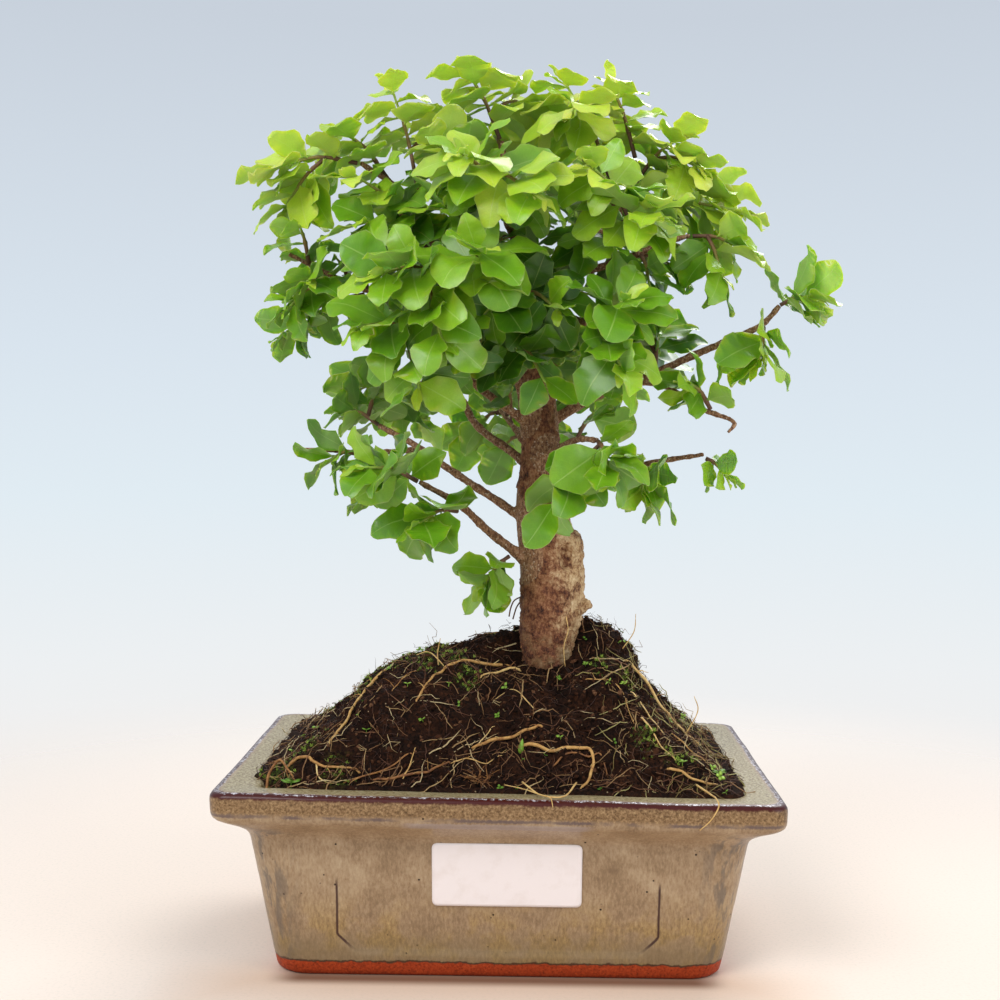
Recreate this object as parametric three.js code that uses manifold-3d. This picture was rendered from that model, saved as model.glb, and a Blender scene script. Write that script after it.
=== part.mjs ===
// A Chinese privet bonsai in a glazed stoneware pot. Millimetres, +Z up, the pot's foot stands on z = 0.
// The tree, its soil and its roots are placed from the middle of the pot, and the whole group is then
// shifted so that its origin lies under the middle of its bounding box.
import * as THREE from 'three';
import { mergeGeometries, mergeVertices } from 'three/addons/utils/BufferGeometryUtils.js';
import Module from 'manifold-3d';

const wasm = await Module();
wasm.setup();

// Driving dimensions of the pot: outer size of the rim, height, and how the body draws in below it.
const RIM_LENGTH = 190;
const RIM_DEPTH = 140;
const POT_HEIGHT = 65.2;
const RIM_WIDTH = 14.5;
const RIM_CORNER = 6;
const BODY_CORNER = 12;
const FOOT_INSET = 18.6;
const WALL_FOOT = 8;
const WALL_TOP = 48;
const WALL_FOOT_INSET = 17;
const WALL_TOP_INSET = 10.4;
const FLOOR_TOP = 7;
const INNER_FOOT_INSET = 24;
const INNER_TOP = 60;
const FOOT_RING_WIDTH = 9;
const FOOT_RECESS = 2.6;
const RIM_FALL = 1.1;
const CORNER_STEPS = 3;

// The shallow panel on each long wall, with its two lower corners cut off.
const PANEL_HALF = 54;
const PANEL_BOTTOM = 9;
const PANEL_TOP = 36;
const PANEL_CHAMFER = 6;
const PANEL_DEPTH = 0.8;

// Drain holes in the floor, with a square of plastic mesh over each.
const DRAIN_RADIUS = 6;
const DRAIN_X = 36;
const SCREEN_SIZE = 22;
const SCREEN_THICK = 1.2;
const SCREEN_OPENING = 6;
const SCREEN_PITCH = 9;

// The blank paper label on the front wall.
const LABEL_LENGTH = 50;
const LABEL_HEIGHT = 22.5;
const LABEL_THICK = 0.35;
const LABEL_CORNER = 1.8;
const LABEL_X = 3.1;
const LABEL_BOTTOM = 26;

// Clearance between pieces that touch.
const GAP = 0.3;

// The soil: heights on the way from the stem's hole, 0, to the pot's wall, 1, in four directions.
const SOIL_EDGE = 64.8;
const SOIL_BOTTOM = FLOOR_TOP + SCREEN_THICK + 2 * GAP;
const SOIL_LEFT = [
  [0, 110], [0.2, 104.5], [0.38, 100.5], [0.55, 96.5], [0.63, 93], [0.71, 85], [0.85, 75], [1, SOIL_EDGE],
];
const SOIL_RIGHT = [
  [0, 115], [0.2, 112], [0.35, 104], [0.42, 93], [0.5, 86], [0.6, 80], [0.85, 72], [1, SOIL_EDGE],
];
const SOIL_FRONT = [[0, 98.6], [0.2, 95.5], [0.48, 87], [0.77, 75], [1, SOIL_EDGE]];
const SOIL_BACK = [[0, 113], [0.3, 104], [0.55, 91], [0.8, 75], [1, SOIL_EDGE]];
const SOIL_RINGS = [0, 0.14, 0.3, 0.45, 0.62, 0.8, 1];
// The stem's hole: its radius where the mouth lies lowest, and how much wider it is for each mm above that.
const HOLE_RADIUS = 11.1;
const HOLE_FLARE = 0.1;
const HOLE_FLOOR = 87.4;

// Roots lying on the soil: radius, then x, y and how high the root stands above the soil there.
const ROOTS = {
  root_left_upper: [
    0.8, [[3, -5, 0], [-7, -9, 0], [-14, -13, 0], [-21, -19, 0], [-26, -26, 0], [-30, -33, 0]],
  ],
  root_left_short: [0.7, [[7, -9, 0], [0, -12, 0], [-8, -20, 0]]],
  root_left_slope: [0.8, [[-40, -6, 0], [-46, -12, 0], [-51, -24, 0], [-55, -36, 0], [-58, -45, 0]]],
  root_left_corner: [0.8, [[-72, -46, 0], [-68, -45, 0], [-63, -49, 0], [-58, -50, 0], [-46, -51, 0]]],
  root_front: [0.8, [[-9, -44, 0], [4, -39, 0], [12, -37, 0], [15, -38, 0]]],
  root_front_loop: [
    0.9, [[7, -43, 0], [11, -42, 0], [17, -43, 0], [24, -44, 0], [30, -44, 0], [32, -47, 0], [31, -50, 0]],
  ],
  root_right_arch: [
    0.7, [[44, -12, 0], [50, -12, 3], [56, -12, 5], [62, -12, 4], [68, -12, 2], [73, -12, 0]],
  ],
  root_right_corner: [0.7, [[57, -48, 0], [63, -50, 0], [69, -51, 0], [74, -51, 0]]],
};
const ROOT_SIDES = 5;
const ROOT_STEP = 6;

// The trunk: x, y, z of its middle and its radius, from inside the soil to where it divides.
const TRUNK = [
  [17.2, 1.4, HOLE_FLOOR + 1.5 * GAP, 10],
  [17.2, 1.4, 98, 10],
  [17, 1, 107, 10.2],
  [18, 0.5, 118, 11.4],
  [18.2, 0, 129, 11.7],
  [17.2, -0.5, 140, 11.2],
  [15.2, -1, 149, 10.2],
  [13.9, -1, 160, 9.2],
  [13.7, -1, 178, 7.3],
  [12.1, -1, 196, 6.9],
  [11.2, -1, 211, 5.6],
  [9.6, 0, 224, 4.7],
  [7.4, 1, 236, 3.6],
];
const TRUNK_SIDES = 12;
const TRUNK_STEPS = 13;
// The cut shoulder on the right of the trunk, the snag beside it, and the hollow scar.
const SHOULDER = [[19, -0.5, 127, 9.6], [21.2, -1.5, 138, 8.6], [22, -2, 145, 7.4], [22, -2, 149, 4.6]];
const SNAG = [[25, -1, 118.5, 4.2], [29.5, -1.4, 120.8, 2.6], [32, -1.5, 122, 1.9]];
const SCAR_CENTRE = [23.4, -10.6, 140];
const SCAR_RADII = [3, 2.4, 5.2];

// Branches: radius at the root and at the end, then the points of the middle line.
const BRANCHES = {
  lower_left: [2.1, 1.1, [[8, -4, 138], [-5, -12, 149], [-16, -20, 159], [-29, -28, 167]]],
  left: [1.9, 1.2, [[9, -2, 152], [-13, 4, 166], [-32, 12, 178], [-48, 20, 187]]],
  left_bare: [1.3, 0.8, [[-32, 12, 178], [-44, 5, 177], [-56, 0, 177], [-77, -4, 178]]],
  left_back: [1.9, 1.2, [[11, 3, 171], [-10, 16, 187], [-19, 26, 199], [-37, 40, 204]]],
  left_front: [1.9, 1.1, [[10, -3, 187], [-9, -18, 201], [-17, -28, 209], [-30, -38, 218]]],
  mid_left: [2, 0.9, [[2, 2, 228], [-28, 12, 234], [-50, 8, 237], [-62, 2, 241], [-79, -4, 249]]],
  upper_left: [2.4, 1.1, [[9, 0, 221], [-9, 4, 233], [-24, 3, 250], [-37, 0, 271], [-53, -4, 282]]],
  leader: [3.4, 1.1, [[9, 0, 224], [7, 2, 237], [5, 0, 253], [1, -2, 273], [-2, 0, 291]]],
  upper_right: [3, 1.1, [[10, 0, 226], [25, 4, 243], [37, 2, 259], [45, -2, 269], [47, -6, 283]]],
  mid_right: [1.8, 1, [[25, 4, 243], [42, -4, 247], [55, -10, 252], [66, -14, 255]]],
  far_right: [
    2.3, 1.1, [[15, 2, 187], [35, 0, 199], [50, -4, 204], [71, -8, 214], [91, -6, 223], [99, -6, 231]],
  ],
  right_hook: [1.5, 0.8, [[50, -4, 204], [60, -8, 201], [70, -12, 194], [82, -16, 189], [80, -17, 185]]],
  low_right: [1.8, 0.9, [[17, 1, 167], [41, 0, 171], [61, -4, 175], [73, -8, 177]]],
  front_twig: [1.6, 1.1, [[8, -5, 191], [4, -15, 208], [3, -21, 223], [3, -27, 235]]],
  front_right: [2, 1.2, [[11, -3, 216], [22, -26, 224], [30, -40, 221]]],
  front_low: [1.7, 1.1, [[15, -5, 176], [26, -22, 182], [33, -34, 182]]],
  front_left: [2.1, 1.2, [[9, -3, 219], [-6, -28, 230], [-21, -46, 237]]],
  front_top: [1.9, 1.1, [[5, -2, 251], [0, -28, 260], [-4, -44, 267]]],
  front_up_right: [1.9, 1.1, [[25, 4, 243], [34, -22, 250], [39, -38, 255]]],
  back_low: [1.9, 1.1, [[12, 4, 174], [4, 34, 186], [-3, 56, 194]]],
  back_right: [2, 1.1, [[14, 3, 197], [25, 32, 209], [38, 56, 218]]],
  back_left: [2.2, 1.1, [[9, 3, 217], [-6, 34, 232], [-19, 58, 242]]],
  back_top: [1.9, 1.1, [[6, 1, 248], [9, 24, 269], [13, 40, 284]]],
  back_up_right: [1.9, 1.1, [[31, 4, 252], [44, 30, 267], [53, 48, 275]]],
};
const BRANCH_SIDES = 5;
const BRANCH_STEP = 21;

// Leafy sprays: the branch, how far along it, the shoot's tip, pairs of leaves, leaf length, and forks:
// how far along the shoot, the fork's tip and its pairs.
const SPRAYS = [
  ['lower_left', 1, [-46, -34, 172], 4, 20, []],
  ['lower_left', 0.6, [-28, -34, 153], 3, 20, []],
  ['lower_left', 0.1, [-6, -14, 130], 3, 16, []],
  ['left', 1, [-62, 24, 193], 4, 15, [[0.3, [-50, 30, 201], 3]]],
  ['left_bare', 0.5, [-63, -10, 174], 4, 17, []],
  ['left_bare', 0.15, [-46, -6, 164], 4, 17, []],
  ['left_back', 1, [-62, 48, 200], 4, 18, [[0.3, [-36, 54, 190], 3]]],
  ['left_front', 1, [-45, -50, 220], 4, 20, [[0.3, [-28, -48, 200], 3]]],
  ['mid_left', 0.5, [-82, 12, 222], 5, 15, []],
  ['mid_left', 0.75, [-78, -6, 230], 4, 16, [[0.3, [-70, -16, 238], 3]]],
  ['mid_left', 0.86, [-76, 8, 250], 3, 15, []],
  ['upper_left', 1, [-82, -6, 280], 4, 21, [[0.4, [-80, -4, 266], 3]]],
  ['upper_left', 0.8, [-60, 2, 294], 4, 17, []],
  ['upper_left', 0.6, [-42, 6, 310], 5, 18, [[0.4, [-26, 27, 300], 3]]],
  ['upper_left', 0.45, [-48, -26, 258], 4, 20, [[0.3, [-52, -22, 274], 3]]],
  ['upper_left', 0.3, [-20, -30, 262], 4, 19, []],
  ['leader', 1, [-14, 0, 315], 4, 20, [[0.3, [8, 21, 309], 3]]],
  ['leader', 0.6, [-24, -18, 286], 5, 19, []],
  ['upper_right', 1, [38, -4, 310], 4, 18, []],
  ['upper_right', 0.85, [62, -2, 291], 4, 17, [[0.4, [68, -12, 280], 3]]],
  ['upper_right', 0.65, [22, 4, 312], 5, 19, [[0.5, [24, -28, 297], 3]]],
  ['upper_right', 0.55, [84, -2, 266], 5, 18, [[0.4, [78, 12, 274], 4]]],
  ['mid_right', 1, [84, -16, 250], 3, 16, [[0.3, [76, -24, 240], 2]]],
  ['mid_right', 0.5, [51, -24, 236], 4, 17, []],
  ['far_right', 1, [110, -8, 234], 4, 19, []],
  ['far_right', 0.85, [92, -16, 212], 3, 18, []],
  ['far_right', 0.45, [57, 10, 222], 5, 17, [[0.3, [46, 14, 228], 3]]],
  ['right_hook', 0.6, [66, -23, 202], 4, 15, []],
  ['low_right', 0.97, [80, -10, 170], 3, 12, []],
  ['low_right', 0.5, [50, -14, 164], 4, 17, []],
  ['front_low', 1, [36, -49, 173], 4, 18, [[0.2, [18, -38, 160], 3]]],
  ['front_twig', 0.55, [14, -36, 203], 3, 17, []],
  ['front_twig', 0.95, [18, -48, 226], 4, 17, [[0.3, [-7, -46, 224], 3]]],
  ['front_right', 1, [40, -54, 206], 4, 18, [[0.3, [40, -54, 228], 3]]],
  ['front_left', 1, [-38, -62, 236], 4, 20, [[0.3, [-20, -60, 216], 3]]],
  ['front_left', 0.75, [-7, -62, 243], 4, 19, []],
  ['front_top', 1, [-13, -58, 275], 4, 19, [[0.3, [10, -60, 262], 3]]],
  ['front_up_right', 1, [49, -52, 257], 4, 18, [[0.3, [30, -50, 272], 3]]],
  ['back_low', 1, [-13, 74, 184], 4, 18, [[0.3, [14, 68, 188], 3]]],
  ['back_right', 1, [47, 74, 205], 4, 18, [[0.3, [60, 62, 232], 3]]],
  ['back_left', 1, [-43, 72, 236], 4, 18, [[0.3, [-8, 74, 246], 3]]],
  ['back_left', 0.6, [-44, 50, 262], 4, 18, []],
  ['back_top', 1, [9, 56, 298], 4, 18, [[0.3, [-16, 48, 290], 3]]],
  ['back_up_right', 1, [68, 62, 278], 4, 18, [[0.3, [40, 56, 294], 3]]],
];
const SHOOT_RADIUS = 1;
const SHOOT_END_RADIUS = 0.8;
// How far from its branch's middle a shoot starts, at least and at most.
const SHOOT_START = 0.4;
const SHOOT_START_MAX = 9;
const NODE_LENGTH = 2.2;
const NODE_TURN = 0.5;
const LEAF_ATTEMPTS = 14;
const LEAF_SLENDER = 0.62;
const BLADE_THICK = 0.95;
// Stations of a blade from stalk to tip, with the share of the full width there.
const BLADE_STATIONS = [[0.3, 0.74], [0.62, 1], [0.87, 0.68]];
// The volume that a leaf may share with its own stem and still count as only touching.
const TOUCH = 0.00001;
// How far from the middle of a leaf's root each of its faces lies, at least, so that the root isn't twisted.
const ROOT_DEPTH = 0.2;
const CROWN_CENTRE = new THREE.Vector3(5, 0, 235);

const UP = new THREE.Vector3(0, 0, 1);
const vec = (p) => new THREE.Vector3(p[0], p[1], p[2]);
const lerp = (a, b, t) => a + (b - a) * t;

// A repeatable number from 0 to 1 for the thing numbered id and the choice numbered k.
function chance(id, k) {
  const s = Math.sin(id * 12.9898 + k * 78.233) * 43758.5453;
  return s - Math.floor(s);
}

// How far a point lies below the plane of three others that run anticlockwise as seen from above.
function depthBelow(point, a, b, c) {
  const normal = b.clone().sub(a).cross(c.clone().sub(a)).normalize();
  return normal.dot(a.clone().sub(point));
}

// The steps that join two rings of unlike length evenly. Of all the pairings to start from, this takes the
// one whose faces lie furthest out from the middle, and gives that depth too.
function bridge(ringA, ringB) {
  const middle = new THREE.Vector3();
  [...ringA, ...ringB].forEach((p) => middle.addScaledVector(p, 1 / (ringA.length + ringB.length)));
  const atA = (i) => ringA[i % ringA.length];
  const atB = (j) => ringB[j % ringB.length];
  let best = { depth: -Infinity };
  ringA.forEach((_, firstA) => ringB.forEach((__, firstB) => {
    const steps = [];
    let depth = Infinity;
    let i = 0;
    let j = 0;
    while (i < ringA.length || j < ringB.length) {
      const step = j === ringB.length || (i + 1) / ringA.length <= (j + 1) / ringB.length ? 0 : 1;
      const here = [firstA + i, firstB + j];
      steps.push([...here, step]);
      const next = step === 0 ? atA(here[0] + 1) : atB(here[1] + 1);
      depth = Math.min(depth, depthBelow(middle, atA(here[0]), next, atB(here[1])));
      if (step === 0) i += 1;
      else j += 1;
    }
    if (depth > best.depth) best = { depth, steps };
  }));
  return best;
}

// A closed geometry from rings of points that run anticlockwise round the way they are stacked.
// A ring of one point is a pole; an end ring of more points gets a flat cap. Side i above ring r is left
// open where skip(r, i) says so, and so is the first ring where openStart is set.
function loft(rings, skip = () => false, openStart = false) {
  const positions = [];
  const index = [];
  const starts = [];
  for (const ring of rings) {
    starts.push(positions.length / 3);
    ring.forEach((p) => positions.push(p.x, p.y, p.z));
  }
  for (let r = 0; r + 1 < rings.length; r += 1) {
    const a = rings[r].length;
    const b = rings[r + 1].length;
    const at = (ring, i) => starts[ring] + (i % rings[ring].length);
    if (a === b || a === 1 || b === 1) {
      for (let i = 0; i < Math.max(a, b); i += 1) {
        if (skip(r, i)) continue;
        if (a > 1) index.push(at(r, i), at(r, i + 1), at(r + 1, b > 1 ? i + 1 : 0));
        if (b > 1) index.push(at(r, a > 1 ? i : 0), at(r + 1, i + 1), at(r + 1, i));
      }
    } else {
      bridge(rings[r], rings[r + 1]).steps.forEach(([i, j, step]) => {
        if (step === 0) index.push(at(r, i), at(r, i + 1), at(r + 1, j));
        else index.push(at(r, i), at(r + 1, j + 1), at(r + 1, j));
      });
    }
  }
  const last = rings.length - 1;
  const firstCap = openStart ? 0 : rings[0].length;
  for (let i = 1; i + 1 < firstCap; i += 1) index.push(starts[0], starts[0] + i + 1, starts[0] + i);
  const endCap = rings[last].length;
  for (let i = 1; i + 1 < endCap; i += 1) index.push(starts[last], starts[last] + i, starts[last] + i + 1);
  const geometry = new THREE.BufferGeometry();
  geometry.setAttribute('position', new THREE.Float32BufferAttribute(positions, 3));
  geometry.setIndex(index);
  return geometry;
}

// A geometry as a solid that can be joined and cut, and back.
function solid(geometry) {
  const bare = geometry.clone();
  bare.deleteAttribute('normal');
  bare.deleteAttribute('uv');
  const merged = mergeVertices(bare, 1e-4);
  const mesh = new wasm.Mesh({
    numProp: 3,
    vertProperties: new Float32Array(merged.attributes.position.array),
    triVerts: new Uint32Array(merged.index.array),
  });
  return new wasm.Manifold(mesh);
}

function geometryOf(body) {
  const mesh = body.getMesh();
  const geometry = new THREE.BufferGeometry();
  geometry.setAttribute('position', new THREE.BufferAttribute(new Float32Array(mesh.vertProperties), 3));
  geometry.setIndex(new THREE.BufferAttribute(new Uint32Array(mesh.triVerts), 1));
  const flat = geometry.toNonIndexed();
  flat.computeVertexNormals();
  return flat;
}

// A point on the smooth line through hand-set points, t from 0 to 1. Points may carry a fourth value.
function along(points, t) {
  const n = points.length - 1;
  const s = Math.min(Math.max(t * n, 0), n - 1e-9);
  const i = Math.floor(s);
  const u = s - i;
  const p1 = points[i];
  const p2 = points[i + 1];
  const p0 = i > 0 ? points[i - 1] : p1.map((v, k) => 2 * v - p2[k]);
  const p3 = i + 2 <= n ? points[i + 2] : p2.map((v, k) => 2 * v - p1[k]);
  return p1.map((v, k) => 0.5 * (2 * v + (p2[k] - p0[k]) * u
    + (2 * p0[k] - 5 * v + 4 * p2[k] - p3[k]) * u * u
    + (3 * v - p0[k] - 3 * p2[k] + p3[k]) * u * u * u));
}

function heading(points, t) {
  const before = vec(along(points, Math.max(t - 0.01, 0)));
  return vec(along(points, Math.min(t + 0.01, 1))).sub(before).normalize();
}

// A tube round a line: radiusAt gives the radius for t and the angle round the tube.
function tube(points, steps, sides, radiusAt) {
  const rings = [];
  let side = null;
  for (let k = 0; k <= steps; k += 1) {
    const t = k / steps;
    const middle = vec(along(points, t));
    const forward = heading(points, t);
    const seed = side === null ? new THREE.Vector3(0.31, 1, 0.17) : side;
    side = seed.clone().addScaledVector(forward, -seed.dot(forward)).normalize();
    const other = forward.clone().cross(side);
    const ring = [];
    for (let i = 0; i < sides; i += 1) {
      const a = (2 * Math.PI * i) / sides;
      const r = radiusAt(t, a);
      const point = middle.clone().addScaledVector(side, r * Math.cos(a));
      ring.push(point.addScaledVector(other, r * Math.sin(a)));
    }
    rings.push(ring);
  }
  return solid(loft(rings));
}

// Outline of the pot at a height, drawn in from the rim by inset, with its long and short sides in steps.
function potRing(inset, corner, z, longSteps = 1, shortSteps = 1) {
  const x = RIM_LENGTH / 2 - inset - corner;
  const y = RIM_DEPTH / 2 - inset - corner;
  const corners = [[x, y, 0], [-x, y, 0.5], [-x, -y, 1], [x, -y, 1.5]];
  const ring = [];
  corners.forEach(([cx, cy, turn], c) => {
    for (let k = 0; k <= CORNER_STEPS; k += 1) {
      const a = Math.PI * (turn + (0.5 * k) / CORNER_STEPS);
      ring.push([cx + corner * Math.cos(a), cy + corner * Math.sin(a)]);
    }
    const from = ring[ring.length - 1];
    const [nx, ny, nextTurn] = corners[(c + 1) % 4];
    const to = [nx + corner * Math.cos(Math.PI * nextTurn), ny + corner * Math.sin(Math.PI * nextTurn)];
    const steps = c % 2 === 0 ? longSteps : shortSteps;
    for (let k = 1; k < steps; k += 1) {
      ring.push([lerp(from[0], to[0], k / steps), lerp(from[1], to[1], k / steps)]);
    }
  });
  const fall = (px) => RIM_FALL * (px / 95) * (z / POT_HEIGHT) ** 2;
  return ring.map(([px, py]) => new THREE.Vector3(px, py, z - fall(px)));
}

const wallInset = (z) => lerp(WALL_FOOT_INSET, WALL_TOP_INSET, (z - WALL_FOOT) / (WALL_TOP - WALL_FOOT));
const innerInset = (z) => lerp(INNER_FOOT_INSET, RIM_WIDTH + 1.6, (z - FLOOR_TOP) / (INNER_TOP - FLOOR_TOP));

function makePot() {
  const outside = [
    [FOOT_INSET, BODY_CORNER, 0],
    [FOOT_INSET - 0.9, BODY_CORNER, 4.6],
    [WALL_FOOT_INSET, BODY_CORNER, WALL_FOOT],
    [WALL_TOP_INSET, BODY_CORNER, WALL_TOP],
    [9.2, 11.5, WALL_TOP + 2],
    [6.9, 10.5, WALL_TOP + 4],
    [3.9, 9, WALL_TOP + 6],
    [1.4, 7, WALL_TOP + 7.4],
    [0.3, RIM_CORNER, WALL_TOP + 8.6],
    [0, RIM_CORNER, POT_HEIGHT - 1.4],
    [0.5, RIM_CORNER, POT_HEIGHT - 0.3],
    [1.6, RIM_CORNER, POT_HEIGHT],
    [RIM_WIDTH - 1.2, RIM_CORNER, POT_HEIGHT - 0.7],
    [RIM_WIDTH, RIM_CORNER, POT_HEIGHT - 1.6],
  ];
  const rings = [
    [new THREE.Vector3(0, 0, FOOT_RECESS)],
    potRing(FOOT_INSET + FOOT_RING_WIDTH + 1, 8, FOOT_RECESS),
    potRing(FOOT_INSET + FOOT_RING_WIDTH, 8, 0),
    ...outside.map(([inset, corner, z]) => potRing(inset, corner, z)),
    potRing(innerInset(INNER_TOP), RIM_CORNER, INNER_TOP),
    potRing(innerInset(FLOOR_TOP), RIM_CORNER, FLOOR_TOP),
    [new THREE.Vector3(0, 0, FLOOR_TOP)],
  ];
  let pot = solid(loft(rings));
  for (const x of [-DRAIN_X, DRAIN_X]) {
    const drill = new THREE.CylinderGeometry(DRAIN_RADIUS, DRAIN_RADIUS, 4 * FLOOR_TOP, 12);
    drill.rotateX(Math.PI / 2).translate(x, 0, 0);
    pot = pot.subtract(solid(drill));
  }
  for (const face of [-1, 1]) pot = pot.subtract(panelCut(face));
  return pot;
}

// What is cut from a long wall for its panel: deepest at the bottom, running out at the top.
function panelCut(face) {
  const outline = [
    [PANEL_HALF, PANEL_TOP], [-PANEL_HALF, PANEL_TOP], [-PANEL_HALF, PANEL_BOTTOM + PANEL_CHAMFER],
    [-PANEL_HALF + PANEL_CHAMFER, PANEL_BOTTOM], [PANEL_HALF - PANEL_CHAMFER, PANEL_BOTTOM],
    [PANEL_HALF, PANEL_BOTTOM + PANEL_CHAMFER],
  ];
  const depthAt = (z) => PANEL_DEPTH * (PANEL_TOP - z) / (PANEL_TOP - PANEL_BOTTOM);
  const wall = (z) => RIM_DEPTH / 2 - wallInset(z);
  const ring = (out) => outline.map(([x, z]) => new THREE.Vector3(x, -wall(z) + depthAt(z) - out, z));
  const cut = solid(loft([ring(0), ring(3)]));
  return face < 0 ? cut : cut.rotate([0, 0, 180]);
}

// A square of plastic mesh with four openings, lying over a drain hole.
function makeScreen(x) {
  const plate = new THREE.BoxGeometry(SCREEN_SIZE, SCREEN_SIZE, SCREEN_THICK);
  let screen = solid(plate);
  for (const i of [-0.5, 0.5]) {
    for (const j of [-0.5, 0.5]) {
      const hole = new THREE.BoxGeometry(SCREEN_OPENING, SCREEN_OPENING, 3 * SCREEN_THICK);
      screen = screen.subtract(solid(hole.translate(i * SCREEN_PITCH, j * SCREEN_PITCH, 0)));
    }
  }
  return screen.translate([x, 0, FLOOR_TOP + GAP + SCREEN_THICK / 2]);
}

// The label lies flat on the sloping front wall.
function makeLabel() {
  const w = LABEL_LENGTH / 2;
  const c = LABEL_CORNER;
  const shape = new THREE.Shape();
  shape.moveTo(-w + c, 0).lineTo(w - c, 0).absarc(w - c, c, c, -Math.PI / 2, 0);
  shape.absarc(w - c, LABEL_HEIGHT - c, c, 0, Math.PI / 2);
  shape.absarc(-w + c, LABEL_HEIGHT - c, c, Math.PI / 2, Math.PI);
  shape.absarc(-w + c, c, c, Math.PI, 1.5 * Math.PI);
  const settings = { depth: LABEL_THICK, bevelEnabled: false, curveSegments: 2 };
  const paper = new THREE.ExtrudeGeometry(shape, settings);
  const lean = Math.atan((WALL_FOOT_INSET - WALL_TOP_INSET) / (WALL_TOP - WALL_FOOT));
  paper.rotateX(Math.PI / 2 + lean);
  return solid(paper).translate([LABEL_X, -RIM_DEPTH / 2 + wallInset(LABEL_BOTTOM) - GAP, LABEL_BOTTOM]);
}

// Height on one slope of the soil at share f of the way out.
function slopeHeight(slope, f) {
  let k = 1;
  while (k < slope.length - 1 && f > slope[k][0]) k += 1;
  const [f0, h0] = slope[k - 1];
  const [f1, h1] = slope[k];
  return lerp(h0, h1, (f - f0) / (f1 - f0));
}

// The soil's surface rings, from the stem's hole to the pot's wall.
function soilRings() {
  const z = SOIL_EDGE - 1;
  const edge = potRing(innerInset(z) + GAP + 0.1, RIM_CORNER, z, 6, 4);
  return SOIL_RINGS.map((f) => edge.map((out) => {
    const dx = out.x - TRUNK[0][0];
    const dy = out.y - TRUNK[0][1];
    const reach = Math.hypot(dx, dy);
    const across = (dx / RIM_LENGTH) ** 2;
    const deep = (dy / RIM_DEPTH) ** 2;
    const slope = (share) => {
      const side = slopeHeight(dx < 0 ? SOIL_LEFT : SOIL_RIGHT, share);
      const front = slopeHeight(dy < 0 ? SOIL_FRONT : SOIL_BACK, share);
      return (across * side + deep * front) / (across + deep);
    };
    const mouth = HOLE_RADIUS + HOLE_FLARE * (slope(0) - SOIL_FRONT[0][1]);
    const r = lerp(mouth / reach, 1, f);
    const x = TRUNK[0][0] + dx * r;
    const y = TRUNK[0][1] + dy * r;
    const broad = 1.1 * Math.sin(0.21 * x + 0.7) * Math.cos(0.26 * y);
    const lumps = (broad + 0.7 * Math.sin(0.43 * x - 0.37 * y + 2)) * Math.sin(Math.PI * f);
    return new THREE.Vector3(x, y, slope(f) + lumps - RIM_FALL * (x / 95) * f);
  }));
}

function makeSoil() {
  const top = soilRings();
  const hole = top[0].map((p) => new THREE.Vector3(p.x, p.y, HOLE_FLOOR));
  const bottom = potRing(innerInset(SOIL_BOTTOM) + GAP + 0.1, RIM_CORNER, SOIL_BOTTOM, 6, 4);
  const middle = (z) => [new THREE.Vector3(TRUNK[0][0], TRUNK[0][1], z)];
  return solid(loft([middle(SOIL_BOTTOM), bottom, ...top.slice().reverse(), hole, middle(HOLE_FLOOR)]));
}

// The roots, each raised from where it would touch the soil until it is clear of all.
function makeRoots(soil, wood) {
  const ground = new THREE.Mesh(geometryOf(soil), new THREE.MeshBasicMaterial());
  const down = UP.clone().negate();
  const heightAt = (x, y) => {
    const ray = new THREE.Raycaster(new THREE.Vector3(x, y, 2 * POT_HEIGHT), down);
    return ray.intersectObject(ground)[0].point.z;
  };
  const done = [soil, wood];
  return Object.entries(ROOTS).map(([name, [radius, route]]) => {
    const reach = vec(route[0]).distanceTo(vec(route[route.length - 1]));
    const steps = Math.max(4, Math.round(reach / ROOT_STEP));
    const line = [];
    for (let k = 0; k <= steps; k += 1) {
      const [x, y, arch] = along(route, k / steps);
      line.push([x, y, heightAt(x, y) + arch + radius]);
    }
    let root = tube(line, steps, ROOT_SIDES, () => radius);
    while (!isClear(root, done)) root = root.translate([0, 0, 0.1]);
    done.push(root);
    return [name, root];
  });
}

// The wood: trunk, cut shoulder, snag, scar, branches and bare twigs, grown as one.
function makeWood() {
  const bark = (a, z) => 1 + 0.03 * Math.sin(3 * a + z / 9) + 0.025 * Math.sin(5 * a - z / 6);
  let wood = tube(TRUNK, TRUNK_STEPS, TRUNK_SIDES, (t, a) => {
    const p = along(TRUNK, t);
    return p[3] * bark(a, p[2]);
  });
  wood = wood.add(tube(SHOULDER, 4, 10, (t) => along(SHOULDER, t)[3]));
  wood = wood.add(tube(SNAG, 2, 6, (t) => along(SNAG, t)[3]));
  const scar = new THREE.SphereGeometry(1, 7, 5);
  scar.scale(...SCAR_RADII).translate(...SCAR_CENTRE);
  wood = wood.subtract(solid(scar));
  for (const [root, end, points] of Object.values(BRANCHES)) {
    const length = points.slice(1).reduce((sum, p, k) => sum + vec(p).distanceTo(vec(points[k])), 0);
    const steps = Math.max(3, Math.round(length / BRANCH_STEP));
    wood = wood.add(tube(points, steps, BRANCH_SIDES, (t) => lerp(root, end, t)));
  }
  return wood;
}

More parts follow.
